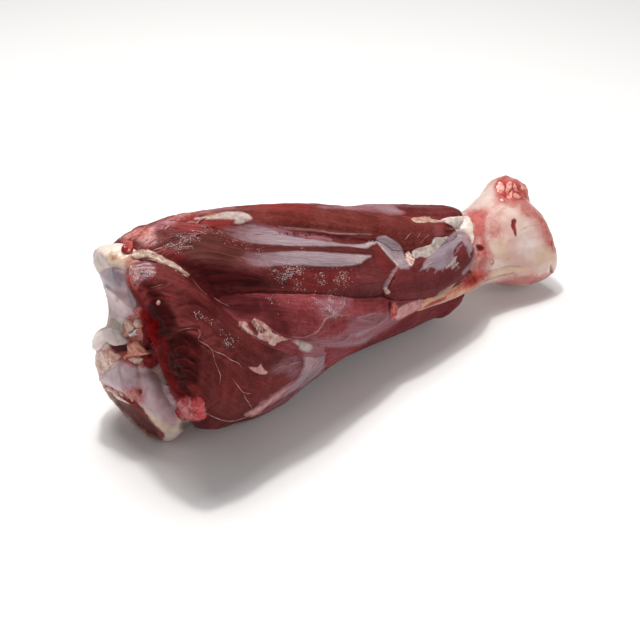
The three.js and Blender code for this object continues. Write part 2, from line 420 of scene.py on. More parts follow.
patch("fat", "top far", "411,219.5 416,218 426,217.6 435,219.5 442,222 435,223 423,222.6 415,222", 1.4, 0.3)
patch("fresh", "top far", "400,214 412,217 440,219 440,222 412,220.5", 2.5)
patch("deep", "top", "392,222 432,226 432,238 398,240", 6.0, 0, 0.28)
patch("fresh", "top", "430,226 441,222 447,226 440,231", 3.0, 0, 0.5)

# Marks on the wrist end

patch("silver", "banded top wrist", "376.5,238 384.5,235.5 391.6,239 399,244 403.2,251.4 406.5,259.7 "
      "409,266.3 408,269 401,269 397.4,264.7 390,257 384,250 378.3,242.3", 1.2, 0.4)
strip("beige", "banded wrist", "377,240 384,249 392,258 399,267", 0.7, 1.0, 0, 0.7)
strip("beige", "banded top wrist", "385,237 392,246 398,256 403,266", 0.5, 1.0, 0, 0.6)
patch("fat", "banded top wrist", "406,253 410,251 412,257 416,258.5 413,263 410.5,267 408,263 405.5,259",
      1.2, 0.4)
patch("beige", "top wrist", "411,254 413,250.5 423,247.3 429.7,245 434.7,238 441,239.8 446.5,239 436.5,250 "
      "431.4,254.7 426.4,258 420,257 414.5,259", 1.4, 0.4)
patch("silver", "wrist top bone", "438.8,246.4 443,240 449.6,235.7 456,231 463,231 468,236 473,244 "
      "470.3,253 467.8,249 464.5,245 462,241 458,244 454.6,249 453.7,256.4 455.5,259.7 453,266 444.6,267.5 "
      "438.8,270 431.4,267.6 423,269.7 423,264.7 427,258 433,253", 1.2, 0.4)
for rib in ("424,267 431,260 440,252", "428,268 437,260 446,251", "440,269 448,261", "446,268 455,258",
            "452,270 457,265", "455,271 460,266", "452,264 457,257", "435,270 443,264", "445,245 455,236",
            "384,241 392,251 399,262", "379,240 387,250 394,260", "390,240 398,250 403,260"):
    strip("beige", "wrist banded top", rib, 0.6, 1.0, 0.1, 0.5)
for fringe in ("424,268 430,263", "446,268 455,261", "450,264 456,257", "452,268 458,263",
               "377,241 384,250 391,258 398,266"):
    strip("beige", "wrist banded", fringe, 0.9, 1.1, 0.2, 0.85)
for tear in ("422,268 420,271", "430,267 427,271", "438,268 435,273", "445,266 442,271", "454,262 459,268",
             "455,254 459,249", "457,249 462,245", "467,249 470,257"):
    strip("silver", "wrist", tear, 0.7, 0.9, 0, 0.8)
patch("fat", "top far wrist bone", "440.5,221.6 444.6,218 465.4,216.4 469.5,218 473,227 474,240 472.8,244 "
      "468,236 463,231 456,229 453,226 445,223", 1.3, 0.4)
patch("silver", "wrist", "444,250 453,247 455,258 452,266 445,267", 4.0, 0, -0.4)
patch("stain", "top far", "410,219 426,216.5 441,220.5 426,223", 1.6, 0, 0.5)
patch("lilac", "wrist top bone", "432,262 437,252 445,242 457,233 464,235 457,245 453,255 447,262 438,266",
      4.0, 0, 0.42)
patch("veil", "top", "432,226 440,223 445,229 444,236 437,240 433,236", 4.0, 0, 0.36)
patch("deep", "top", "443,223.5 449,224 455,227.3 446,227", 1.2, 0, 0.9)
patch("deep", "top wrist", "445,229.5 456,229 452,233 444,232.5", 1.2, 0, 0.8)
patch("fresh", "banded", "372,246 379,244 392,262 399,270 390,284 382,290 376,270", 8.0, 0, 0.45)
patch("silver", "wrist banded", "399,265 392,271 388,278 384.5,283 384,290 386,291 389,284.5 393.5,275 "
      "398,269", 1.2, 0.3, 0.62)
patch("fat", "wrist banded belly", "384,288 387,288 390.5,293 386,294", 1.1, 0.4)
# Painted shade in a sunken slit
patch("deep", "belly banded", "388.5,304 391,302 392.5,309 391,318 389,314", 1.2, -1.0)
patch("fatred", "belly banded", "392.5,302.5 397,304 396.5,312 392,320 392,310", 1.2, 0.4)
patch("silver", "wrist", "474,246 479,250 476,262 464,275 462,271 472,260", 1.6, 0, 0.7)

# Marks on the belly muscle

# Painted shade in the groove between the belly and the front muscle
patch("deep", "belly front", "208,300 240,292 266,291 284,300 292,318 288,336 268,326 248,314 226,308",
      10.0, 0, 0.68)
patch("deep", "belly front banded", "206,292 228,289 248,293 262,300 264,314 250,318 226,312 210,303",
      6.0, 0, 0.95)
patch("deep", "banded belly front", "184,278 194,270 208,276 218,290 208,298 198,290 190,284", 3.0, 0, 1.0)
patch("veil", "belly", "318,300 328,296 350,298 347,306 338,316 326,319 318,313", 4.0, 0, 0.9)
patch("veil", "belly under strand", "352,321 372,314 391,312 399,318 388,329 370,340 350,346 326,346 "
      "306,342 325,338 345,333", 4.0)
patch("silver", "belly under", "306,341 330,343 350,343 364,338 376,330 372,338 362,346 340,347 320,345",
      3.0, 0, 0.55)
patch("silver", "belly", "352,334 362,328 376,324 388,315 386,320 370,330 358,337", 2.0, 0.3, 0.62)
patch("pink", "belly strand wrist", "394,314 402,306 412,302 424,299.5 422,307 410,313 398,320", 1.6, 0.3)
patch("fresh", "belly", "310,330 325,322 345,320 356,326 345,334 325,337", 6.0, 0, 0.35)
for fold in ("293,337 306,337 319,329 325,319 333,316 352,315.5",
             "343,341 352,334 362,330 377,324 386,318", "357,319 367,315 381,313", "357,319 374,322",
             "345,299 342,308 334,316", "312,298 322,305 334,316"):
    crease("belly under", fold, -0.7, 1.3)
    strip("silver", "belly under", fold, 0.7, 1.3, 0, 0.62)
patch("wrinkled", "belly", "306,298 346,296 390,312 386,330 350,344 306,340 320,322", 8.0, 0, 0.45)
crease("belly", "328,322 333,326 340,322 350,320", 0.9, 2.4)
crease("belly", "300,342 320,336 334,326", 0.7, 2.4)
crease("belly", "356,322 366,320 380,316", 0.6, 2.0)

# Marks on the front muscle

patch("veil", "front", "132,266 142,261 155,264 157,274 146,282 134,283", 3.0, 0, 0.8)
for wrinkle in ("134,266 142,263.5 151,264", "134,269.5 144,267 154,268", "136,273 146,271 155,272.5",
                "133,277.5 139,275.5 146,276", "134,281 141,279.5"):
    strip("beige", "front", wrinkle, 0.8, 1.2, 0.4, 0.75)
patch("wrinkled", "front", "124,266 140,261 156,268 152,284 132,286", 4.0)
patch("blood", "bone front", "141,309 148,311 154,318 158,327 159,338 158,347 150,351 142,348 140,338 "
      "141,328 139,318", 2.4, -0.3, 0.9)
patch("blood", "bone front", "127,280 130,279 134,286 139,295 145,306 141,310 135,299 129,287", 1.8, 0, 0.5)
patch("fresh", "bone front", "124,268 132,266 140,276 146,290 150,304 142,304 134,292 127,280", 3.0, 0, 0.9)
patch("pink", "bone front", "125,266 133,264 140,270 139,280 131,281 126,274", 2.5, 0, 0.6)
patch("fatred", "front bone", "133,308 140,308 147,314 144,321 137,320", 2.0, 0, 0.9)
patch("fatred", "front bone", "125,276 131,274 137,282 136,290 129,289", 2.0, 0, 0.7)
patch("silver", "front", "122,286 127,286 132,294 136,304 132,309 126,303", 1.4)
patch("blood", "bone", "140,352 150,348 160,352 161,364 153,369 145,366 142,359", 2.0, -0.4)
# Painted shade in the hollows of the front muscle; the cut face below is dark red flesh and painted shade
patch("deep", "front", "176,300 205,292 230,302 246,318 232,326 205,322 182,318", 10.0, 0, 0.56)
patch("deep", "front", "138,282 150,284 160,296 172,308 176,322 168,338 158,342 151,330 146,310",
      5.0, 0, 0.85)
patch("deep", "front", "156,321 160,320 163,325 162,330 157,329", 1.6, -0.8)
patch("fresh", "front", "162,293 170,295 176,299 172,300 166,298", 1.5, 0.5, 0.6)
patch("pink", "front", "156.5,302 158.5,300.5 160.5,302 159,305 157,305", 1.0, 0.7)
patch("blood", "front", "154,336 160,334 167,341 167,353 169,364 174,376 181,388 187,398 178,402 169,390 "
      "161,375 155,360", 2.6, 0.3, 0.56)
patch("deep", "front", "167,340 184,333 198,340 201,352 200,372 197,392 194,398 184,395 176,383 169,370 "
      "165,356", 3.0, -0.8, 0.8)
patch("deep", "front", "158,354 164,352 168,366 176,382 184,394 178,398 167,382", 3.0, 0, 0.8)
patch("wrinkled", "front", "167,340 184,333 198,340 201,352 200,372 197,392 184,397 168,374", 4.0)
patch("fresh", "front", "190,346 200,350 200,356 190,354", 3.0, 0, 0.4)
patch("fresh", "front", "188,385 198,384 203,398 196,402 190,396", 3.0, 0, 0.6)
patch("fatred", "front bone under", "178,400 186,397 194,399 200,397 204,406 206,416 202,420 188,420 "
      "178,415", 2.5, 0.4)
# Painted shadow under the bloody lumps
patch("deep", "front bone under", "182,421 206,419 210,430 184,432", 3.0, 0, 0.8)
crease("front", "168,341 177,333 187,330 198,330", 1.4, 2.2)
crease("front", "168,337 177,329 188,326 199,326 201,335 198,341", -0.9, 1.6)
crease("front", "198,342 204,346 212,352 224,357 240,365", 0.5, 2.0)
crease("front", "140,290 152,288 166,283", 0.9, 1.6)
# Painted highlights: bright red strips just below each crease light the ridges of the wrinkles
for wrinkle in ("170,350 180,345 192,348 199,355", "171,360 182,357 194,362", "174,370 186,368 197,374",
                "178,380 188,379 196,385", "184,338 190,344"):
    crease("front", wrinkle, 0.8, 1.2)
    strip("fresh", "front", wrinkle, 0.6, 1.4, 0.3, 0.55, drop=2.2)
for wrinkle in ("204,340 214,336 226,338", "206,350 218,346 232,352", "180,306 194,304 206,309",
                "170,318 184,318 196,324"):
    crease("front", wrinkle, 0.7, 1.5)
crease("front", "144,300 156,296 172,299", 0.8, 1.8)
crease("front", "206,410 214,404 220,400", 0.8, 1.4)
patch("fat", "front belly", "237,324.5 241,321.5 246,322 249,327 253,332.5 258,337 251,335.5 245,331 "
      "240,328", 1.6, 0.5, 0.62)
patch("fat", "front belly", "257,337 263,333 268,330 275,333.5 283,337 287.5,339.5 281,342 277,343 274,346 "
      "268,342.5 262,340.5", 1.3, 0.5, 0.95)
strip("fat", "front belly", "255,320.5 260,323 265,327 270,331", 2.0, 1.4, 0.3, 0.9)
for shred in ("252,322 257,328 261,335", "256,323 261,329 266,336"):
    strip("fat", "front belly", shred, 0.8, 1.0, 0.3, 0.9)
# Painted shade in the sunken gap between the pieces of fat
patch("deep", "front belly", "249,321.5 253,322.5 258,328 262,334 255,332 250,327", 1.6, -0.4, 0.5)
patch("wrinkled", "front", "158,276 190,290 240,322 286,352 296,370 250,402 208,398 204,342 168,316",
      12.0, 0, 0.36)
patch("fresh", "front", "214,372 244,372 250,396 222,402", 8.0, 0, 0.38)
patch("fresh", "front", "252,380 272,372 290,378 276,392 256,398", 8.0, 0, 0.42)
patch("pink", "front", "248,367 257,368 261,364 264,369 268,373 259,374", 1.2, 0.3)
patch("veil", "front under belly", "291,340 306,341 322,346 326,356 324,368 319,375 308,382 294,390 "
      "280,400 262,411 250,416 262,402 276,392 290,384 299,376 303,366 302,354 297,346", 1.4, 0.7)
patch("silver", "front under", "296,343 308,344 321,348 325,357 322,368 310,380 294,391 282,398 292,386 "
      "300,375 303.5,363 301,351", 1.8, 0, 0.8)
patch("pink", "front under", "304,352 320,352 322,364 312,374 304,370", 4.0, 0, 0.44)
patch("pink", "front under", "298,382 290,388 278,398 264,408 250,416 244,414 262,403 278,392",
      2.4, 0.3, 0.7)
patch("beige", "front belly", "293,340.5 302,341 311,345 309,351 301,349", 1.8, 0, 0.85)
patch("veil", "front", "270,372 282,358 300,354 302,368 296,378 280,374", 5.0, 0, 0.66)
patch("deep", "front", "198,408 215,414 240,412 262,402 262,414 235,428 206,428", 4.0, 0, 0.5)

# Marks on the under muscle and the strand

patch("veil", "under", "326,348 354,348 346,357 330,365", 3.0, 0, 0.5)
patch("fresh", "under", "325,347 359,347 355,353 339,361 330,367 324,366", 3.0, 0, 0.85)
patch("veil", "under", "385,328 404,318 422,309 424,314 404,324 388,334", 3.0, 0, 0.22)
patch("fresh", "strand bone", "423,308.6 430,303 438,299.5 446,296.5 444,300 434,305", 1.2)
strip("beige", "strand", "421,310.5 432,307 442,304.5 449,302", 0.9, 1.2, 0.3)
for streak in ("426,307 436,302 446,297.5", "446,295 456,289.5 464,285", "452,288 461,282 468,277",
               "458,291 468,286 478,280"):
    strip("raw", "strand", streak, 0.8, 1.2, 0, 0.75)
for edge in ("426,308.5 440,303 452,297.5 464,292", "436,298 448,290 458,284"):
    strip("beige", "strand", edge, 0.8, 1.2, 0.2, 0.8)
patch("blood", "strand bone", "465,282 473,276 484,274 479,281 470,287", 3.0, 0, 0.5)
patch("fatred", "strand", "456,285 463,279 470,274 482,272 486,276 480,282 470,288 462,290", 4.0, 0, 0.6)
patch("raw", "strand bone", "462,283 468,275 478,269 488,268 490,275 483,282 474,288 465,289", 4.0, 0, 0.82)
patch("sinew", "wrist strand", "432,300 438,293 446,288 456,282 450,291 440,299", 1.8, 0.3, 0.66)
patch("dome", "under", "76,-62 98,-64 108,-46 106,-24 84,-22", 8.0, 2.4, 1, limb=True)
patch("raw", "bone strand", "471,273 476,269 479,268 477,272 472,275", 1.4, 0, 0.8)

# Marks on the elbow joint

patch("lilac", "bone", "108,379 120,366 131,368 136,386 124,390", 5.0, 0, 0.5)
patch("fresh", "bone", "110,380 121,368 132,370 136,388 124,391", 6.0, 0, 0.24)
patch("tallow", "bone", "108,254 124,250 134,254 130,264 112,266", 4.0, 0, 0.9)
patch("pinkish", "bone", "118,254 128,250 138,252 136,262 124,267", 4.0, 0, 0.9)
patch("raw", "bone banded", "122,256 130,254 138,256 136,264 126,266", 3.0, 0, 0.5)
crease("bone", "97,277 101,271 108,268 116,268 124,271", 0.9, 1.5)
patch("dome", "bone", "104,377 120,363 132,364 136,388 124,392 112,386", 9.0, 1.6)
patch("dome", "bone", "143,372 154,372 166,392 176,410 172,428 152,412 144,396", 12.0, 1.6)
patch("gristle", "bone", "99,278 102,271 113,267 123,271 128,281 134,291 139,303 139,312 128,319 114,316 "
      "106,312", 2.0)
patch("lilac", "bone", "103,274 113,269 123,272 124,284 113,290 105,288", 5.0)
patch("cream", "bone", "93,262 96,250 106,245 118,246 134,248 133,256 124,266 113,267 103,271 97,278",
      2.5, 0.5)
patch("lumpy", "bone", "95,250 108,245 134,249 132,257 112,265 98,266", 4.0, 0, 0.7)
patch("stain", "bone", "109,254 118,252 122,260 112,264", 4.0, 0, 0.66)
patch("stain", "bone", "115,297 118,297 119,301 116,302", 1.4)
strip("pinkish", "bone", "107,333 110,325 114,319 119,314", 1.3, 1.6, -0.4)
strip("raw", "bone", "109,328 113,320 117,316", 0.5, 1.2, 0, 0.6)
# Painted light: the pale shelf below the notch is made paler where its shading is dark
patch("bright", "bone", "93,340 98,328 106,318 114,313 124,318 128,330 124,344 108,348 95,350", 3.0)
patch("raw", "bone", "113,346 124,340 124,322 139,314 152,322 154,344 152,360 140,368 124,362 112,356",
      3.0, -1.0)
# Painted shade in the sunken slot under the pale shelf
patch("deep", "bone", "109,346 116,344 128,344 128,351 116,352", 1.6, -1.0, 0.9)
patch("lumpy", "bone", "94,350 112,346 124,356 118,366 104,378 96,372", 3.0, 0, 0.4)
patch("pinkish", "bone", "95,349 112,346 124,357 116,364 103,378 96,370", 3.0, 0, 0.7)
patch("gristle", "bone", "102,378 111,368 121,360 132,361 139,369 139,390 132,396 120,391 110,385",
      1.8, 0.5)
patch("gristle", "bone", "140,370 150,366 157,374 166,389 176,402 178,416 172,426 150,412 140,400", 3.0)
strip("cream", "bone", "103,379 111,369 121,361 131,361", 1.0, 1.2, 0.3, 0.9)
patch("cream", "bone", "146,410 160,405 178,408 182,424 172,436 158,437", 6.0)
patch("tallow", "bone", "150,406 172,404 181,420 168,434 156,430", 6.0, 0, 0.9)
patch("stain", "bone", "148,408 158,406 163,410 158,414 149,413", 4.0, 0, 0.4)
patch("raw", "bone", "104,385 114,388 124,394 133,399 131,406 124,403 112,397 103,392", 2.0, 0.4, 0.9)
# Along the underside of the elbow: dark red flesh and blood, with painted shade
patch("blood", "bone", "112,396 128,398 138,404 147,414 156,425 165,437 150,448 134,434 116,414",
      2.0, 0, 0.85)
patch("deep", "bone", "106,394 122,400 135,409 147,422 157,436 146,448 126,432 108,412", 3.0, 0, 0.6)
patch("dome", "bone", "104,390 120,398 134,408 147,420 160,438 146,448 126,432 106,412", 7.0, -4.2)
patch("raw", "bone", "124,390 132,386 141,386 145,394 143,405 132,404", 4.0, 0, 0.8)
# A small pit, raw red with painted shade at its bottom
patch("raw", "bone", "136,390 139,388 142,391 140,396 137,395", 1.2, -0.8)
patch("deep", "bone", "137.5,391 139.5,390 141,392 139.5,394.5 138,394", 0.9, -0.6)
strip("raw", "bone", "136,368 138,376 137,384", 0.5, 1.0, 0, 0.5)
crease("bone", "138,366 140,378 140,390 136,398", 0.8, 2.0)
crease("bone", "101,379 111,368 121,359 132,360", -1.0, 1.8)
crease("bone", "106,386 118,392 130,399 140,410", 1.2, 2.0)

# Marks on the knuckle

# Painted highlight on the upper left of the knuckle
patch("bright", "bone", "467,208 480,195 494,182 498,188 496,200 488,206 476,210", 6.0, 0, 0.66)
patch("pinkish", "bone", "466,212 480,208 488,210 489,222 487,238 490,250 489,266 478,276 476,262 479,250 "
      "474,230", 7.0)
patch("pinkish", "bone", "466,212 478,208 483,214 482,232 486,250 484,266 478,276 476,262 479,250 474,230",
      4.0)
patch("raw", "bone", "467,212 480,209 486,214 487,236 488,252 483,264 478,252 474,230", 6.0, 0, 0.56)
patch("raw", "bone", "466,232 476,228 484,244 481,262 474,276 468,262", 5.0, 0, 0.6)
patch("pinkish", "bone", "482,210 496,212 504,222 506,238 496,244 486,240", 7.0, 0, 0.62)
patch("raw", "bone", "535,212 546,216 556,236 557,250 548,247 541,228", 6.0, 0, 0.56)
patch("raw", "bone", "494,188 498,179 512,177 524,182 529,197 516,201 499,198", 3.0, 0, 0.8)
patch("pinkish", "bone", "490,192 500,177 512,178 526,184 532,200 518,206 496,204", 4.0, 0, 0.9)
patch("pinkish", "bone", "517,203 530,200 540,214 548,224 536,222 524,216", 4.0, 0, 0.75)
patch("blood", "bone", "513.5,218.5 516.5,220 515.5,226 517.5,234 515.5,238 512.5,232 510.5,225", 1.0, -0.5)
strip("blood", "bone", "520,231 527,227 533,225.5 539,225", 0.45, 0.9, 0, 0.6)
patch("raw", "bone", "543,215 548,219 555,233 559,248 556,252 551,247 548,234", 4.0, 0, 0.9)
patch("pinkish", "bone", "534,212 546,218 556,238 556,252 544,248 538,230", 8.0, 0, 0.7)
patch("raw", "bone", "549,240 555,240 558,249 553,250", 3.0, 0, 0.9)
# A small hole, blood red with painted shade at its bottom
patch("blood", "bone", "476.5,245 480,244.5 484.5,248 483,250.5 478,249.5", 1.1, -1.6)
patch("deep", "bone", "478,246 481,246 483,248.5 480,249", 0.9, -0.5, 0.7)
strip("pinkish", "bone", "489.5,261 491.5,259 493.5,262 491.5,264.5 489.5,262", 0.9, 1.0)
patch("tallow", "bone", "494,242 503,241 508,248 506,260 497,258", 5.0, 0, 0.8)
patch("tallow", "bone", "534,250 550,248 556,254 554,263 538,264", 6.0, 0, 0.75)
patch("tallow", "bone", "478,279 492,272.5 506,268 522,267 530,269 518,271.5 500,275 484,281", 1.8, 0.6)
strip("stain", "bone", "482,275 494,270 508,266.5 520,266.5", 0.7, 1.2, 0, 0.7)
strip("stain", "bone", "484,281 500,276.5 514,273", 0.8, 1.2, 0, 0.8)
crease("bone", "482,283 500,278 516,275", 0.7, 1.6)
patch("stain", "bone", "551,266 553,267 553,274 551,274", 1.0, -1.6)
patch("pinkish", "bone", "516,276 540,274 556,272 552,280 530,285 500,287 496,283", 3.0, 0, 0.75)
patch("raw", "bone", "528,281 544,278 554,277 545,281 530,285", 2.0, 0, 0.6)
patch("raw", "bone", "503,285 530,286 528,289 506,288", 2.0, 0, 0.7)
patch("bright", "bone", "516,226 532,230 540,246 526,256 512,244", 8.0, 0, 0.6)
crease("bone", "553,262 552,270 551,277", 1.0, 2.0)

# Marks on the sides that face away, set out round the limb

patch("silver", "back", "-118,186 -60,192 0,198 52,202 58,208 0,210 -64,208 -122,200",
      2.0, 0.35, 1, limb=True)
patch("silver", "back", "-70,222 -10,226 48,228 40,236 -14,238 -72,234", 2.0, 0.35, 1, limb=True)
patch("veil", "back", "-150,196 -118,180 -100,200 -118,226 -146,222", 6.0, 0, 0.9, limb=True)
patch("fat", "back bone", "70,190 96,186 106,200 100,224 80,230 64,212", 4.0, 0.4, 1, limb=True)
patch("silver", "far", "-96,146 -40,142 20,130 60,118 62,124 22,140 -38,154 -98,160",
      2.0, 0.35, 1, limb=True)
patch("veil", "far", "-150,150 -120,142 -110,164 -142,172", 5.0, 0, 0.9, limb=True)
patch("fat", "far", "-128,166 -96,168 -84,176 -118,178", 2.0, 0.5, 1, limb=True)
# The underside is darkened with the dark red layer, as painted shade
patch("deep", "under", "-120,-110 -40,-100 20,-84 10,-60 -60,-66 -120,-80", 12.0, 0, 0.5, limb=True)
patch("veil", "under", "-10,-84 60,-76 92,-60 70,-48 20,-58 -20,-70", 6.0, 0, 0.4, limb=True)
patch("veil", "under", "-110,-70 -70,-62 -50,-50 -80,-46 -108,-54", 5.0, 0, 0.9, limb=True)
patch("fat", "back", "-140,232 -96,238 -70,246 -104,248 -138,244", 3.0, 0.5, 1, limb=True)
patch("raw", "bone", "176,120 196,112 200,150 198,200 182,190 178,150", 8.0, 0, 0.7, limb=True)
patch("pinkish", "bone", "104,130 130,120 136,180 130,232 106,228", 10.0, 0, 0.9, limb=True)
patch("tallow", "bone", "140,150 168,150 170,190 142,200", 12.0, 0, 0.8, limb=True)
patch("raw", "bone", "150,206 158,208 162,226 154,224", 4.0, -0.5, 0.8, limb=True)

# Skins

# Sizes of the small faces, in mm
VOXEL = {
    "front_muscle": 1.0, "banded_muscle": 1.0, "shank_bone": 1.15, "back_muscle": 1.3, "under_muscle": 1.3,
}
USUAL_VOXEL = 1.1
FUSED_VOXEL = 1.7
SMOOTH_PASSES = 22
PULL = 0.52
PUSH = -0.53
# Layers of marks; lumpy, wrinkled and dome shape the skin, crumbs and glints place small bits
# The glints' pale beads are painted highlights, and some colour layers paint shade and highlights too
LAYERS = (
    "deep brown fresh blood veil silver beige sinew fat pink fatred lumpy torn wrinkled crumbs glints "
    "gristle lilac cream tallow pinkish raw bright stain dome"
).split()
# How far the edges of a layer wander, in pixels or in mm round the limb
FRAYED = {
    "deep": 2.5, "brown": 4.0, "fresh": 3.5, "blood": 1.6, "veil": 4.0, "silver": 0.8, "beige": 1.0,
    "sinew": 0.5, "fat": 1.6, "pink": 1.4, "fatred": 2.5, "gristle": 0.8, "lilac": 3.0, "cream": 3.0,
    "pinkish": 3.5, "raw": 2.0, "bright": 5.0, "torn": 3.0,
}
MOST_FRAYED = 0.4
FACING_EDGE = (-0.30, 0.02)
LIFT_EDGE = (0.3, 0.9)
CREASE_REACH = 3
FUSED_PASSES = 8
FUSED_SWELL = 9.0
SEAM_DEPTH = 0.7
CLEFT_REACH = 0.020
CLEFT_TURN = (0.02, 0.4)
CLEFT_PASSES = 6
EVEN_PASSES = 5
WELD = 1e-6

# Waves of the relief: height and size in mm, size along and across where fibres run, and seed
EDGE_JAGS = ((0.6, 5.0, 22), (0.4, 2.4, 23))
FIBRE_JAGS = ((0.5, (13, 1.9), 21),)
SWELLS = ((0.5, 17, 1), (0.2, 6, 2))
FINE_SWELLS = ((0.10, 2.8, 19),)
BUNDLES = ((0.24, (60, 5.0), 3), (0.14, (34, 1.9), 4))
TORN_RIDGES = (1.5, (26, 3.2), 5)
TORN_WAVES = ((0.9, (14, 1.6), 6),)
WRINKLES = ((0.7, 4.0, 9), (0.5, 2.0, 10))
BONE_SWELLS = ((0.5, 16, 11), (0.14, 5, 12))
RAW_WAVES = ((0.7, 3.0, 15),)
CLUSTERS = ((1.0, 5.0, 16), (0.5, 2.0, 17))
CLUSTER_EDGE = (-0.3, 0.5)
FEWEST_CRUMBS = 0.25
TORN_DEPTH = 0.9
COVERED_BUNDLES = 0.35
POLISH = 0.7


class Lumpy(NamedTuple):
    """Large and small lumps: heights, sizes and clefts in mm, and how the red layer fades on their tops."""

    heights: tuple
    sizes: tuple
    seeds: tuple
    cleft: float
    edge: tuple
    fading: float


FLESH_LUMPS = Lumpy((1.7, 0.8), (4.0, 2.2), (7, 8), 0.7, (0.3, 0.8), 0.4)
BONE_LUMPS = Lumpy((2.4, 0.9), (5.5, 2.6), (13, 18), 1.0, (0.2, 0.7), 0.55)


def welded(nodes):
    """The CAD meshes of some nodes as one mesh, with double points taken out."""
    source = bmesh.new()
    for node in nodes:
        source.from_mesh(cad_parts[node].data)
    bmesh.ops.remove_doubles(source, verts=source.verts, dist=WELD)
    mesh = bpy.data.meshes.new("welded")
    source.to_mesh(mesh)
    source.free()
    return mesh


def fine_mesh(node, voxel):
    """A closed even mesh of one CAD solid."""
    return remeshed(welded([node]), voxel)


def remeshed(mesh, voxel):
    """The mesh made again from even small faces; the one handed in is removed."""
    carrier = bpy.data.objects.new("carrier", mesh)
    bpy.context.collection.objects.link(carrier)
    remesh = carrier.modifiers.new("even", "REMESH")
    remesh.mode = "VOXEL"
    remesh.voxel_size = voxel * MM
    made = bpy.data.meshes.new_from_object(carrier.evaluated_get(bpy.context.evaluated_depsgraph_get()))
    bpy.data.objects.remove(carrier)
    bpy.data.meshes.remove(mesh)
    return made


def points_of(mesh):
    """The mesh's vertices as an array."""
    flat = np.empty(len(mesh.vertices) * 3)
    mesh.vertices.foreach_get("co", flat)
    return flat.reshape(-1, 3)


def move_points(mesh, points):
    """Puts the mesh's vertices at these points."""
    mesh.vertices.foreach_set("co", points.ravel())
    mesh.update()


def normals_of(mesh):
    """The mesh's vertex normals as an array."""
    flat = np.empty(len(mesh.vertices) * 3)
    mesh.vertex_normals.foreach_get("vector", flat)
    return flat.reshape(-1, 3)


def neighbour_mean(edges, count, values):
    """The mean over each vertex's neighbours."""
    first, second = edges[:, 0], edges[:, 1]
    shared = np.bincount(first, minlength=count) + np.bincount(second, minlength=count)
    columns = [
        np.bincount(first, values[second, k], count) + np.bincount(second, values[first, k], count)
        for k in range(values.shape[1])
    ]
    return np.stack(columns, 1) / np.maximum(shared, 1)[:, None]


def edges_of(mesh):
    """The mesh's edges as pairs of vertex numbers."""
    flat = np.empty(len(mesh.edges) * 2, dtype=np.int32)
    mesh.edges.foreach_get("vertices", flat)
    return flat.reshape(-1, 2)


def smooth(mesh, passes):
    """Takes the facets out of a mesh; the push gives back what the pull shrinks."""
    edges = edges_of(mesh)
    points = points_of(mesh)
    for _ in range(passes):
        for amount in (PULL, PUSH):
            points += amount * (neighbour_mean(edges, len(points), points) - points)
    move_points(mesh, points)


def set_values(mesh, name, values):
    """Keeps one value for each vertex under a name, for the material and the trees."""
    kind = "FLOAT_VECTOR" if values.ndim == 2 else "FLOAT"
    kept = mesh.attributes.new(name, kind, "POINT")
    kept.data.foreach_set("vector" if values.ndim == 2 else "value", values.astype(np.float32).ravel())


def keep_layers(mesh, values):
    """Keeps every layer that has a value somewhere."""
    for layer, kept in values.items():
        if kept.any():
            set_values(mesh, layer, kept)


def mark_values(node, points, normals):
    """The value of every layer at every vertex, and how far the marks lift it, in mm."""
    scaled = points / MM
    jag = waves(scaled, EDGE_JAGS)
    if node in MUSCLE_TONES:
        jag = 0.6 * jag + waves(fibre_places(node, limb_places(points)), FIBRE_JAGS)
    sight = EYE - points
    sight /= np.linalg.norm(sight, axis=1)[:, None]
    facing = ease(*FACING_EDGE, (sight * normals).sum(1))
    shown = picture_places(points)
    limb = limb_places(points)
    values = {layer: np.zeros(len(points)) for layer in LAYERS}
    lifted = np.zeros(len(points))
    for mark in MARKS:
        if node and node not in mark.nodes:
            continue
        places = limb if mark.limb else shown
        frayed = min(FRAYED.get(mark.layer, 0.0), MOST_FRAYED * mark.girth())
        near = close_to(places, mark.line, mark.half_width + mark.soft + frayed)
        if not near.size:
            continue
        depth = mark.depth(places[near]) + frayed * jag[near]
        inside = np.clip(0.5 + depth / (2 * mark.soft), 0, 1)
        if not mark.limb:
            inside *= facing[near]
        kept = inside * mark.strength * mark.share(places[near])
        before = values[mark.layer][near]
        values[mark.layer][near] = before * (1 + kept) if mark.strength < 0 else np.maximum(before, kept)
        lifted[near] += mark.lift * ease(*LIFT_EDGE, inside)
    for nodes, line, depth, width in CREASES:
        if node and node not in nodes:
            continue
        near = close_to(shown, line, CREASE_REACH * width)
        if near.size:
            gap = gap_to(shown[near], line)
            lifted[near] -= depth * np.exp(-((gap / width) ** 2)) * facing[near]
    return values, lifted


def lumpy_relief(kind, scaled, values, red):
    """The lumps of a surface, in mm; the red layer fades on their tops."""
    large, small = (lumps(scaled, size, seed) for size, seed in zip(kind.sizes, kind.seeds))
    values[red] = values[red] * (1 - values["lumpy"] * ease(*kind.edge, large) * kind.fading)
    return (kind.heights[0] * large + kind.heights[1] * small - kind.cleft) * values["lumpy"]


def flesh_relief(node, points, limb, values):
    """Swells, fibre bundles, torn strands, lumps and wrinkles of a muscle, in mm."""
    scaled = points / MM
    fibre = fibre_places(node, limb)
    swell = waves(scaled, SWELLS) + waves(scaled, FINE_SWELLS)
    bundles = waves(fibre, BUNDLES)
    height, size, seed = TORN_RIDGES
    torn = height * (1 - np.abs(noise(fibre, size, seed))) + waves(fibre, TORN_WAVES) - TORN_DEPTH
    lumpy = lumpy_relief(FLESH_LUMPS, scaled, values, "fatred")
    wrinkled = waves(scaled, WRINKLES)
    covered = 1 - np.maximum(values["silver"], values["fat"])
    relief = swell + bundles * (COVERED_BUNDLES + (1 - COVERED_BUNDLES) * covered)
    relief += torn * values["torn"] + lumpy + wrinkled * values["wrinkled"]
    return relief, fibre


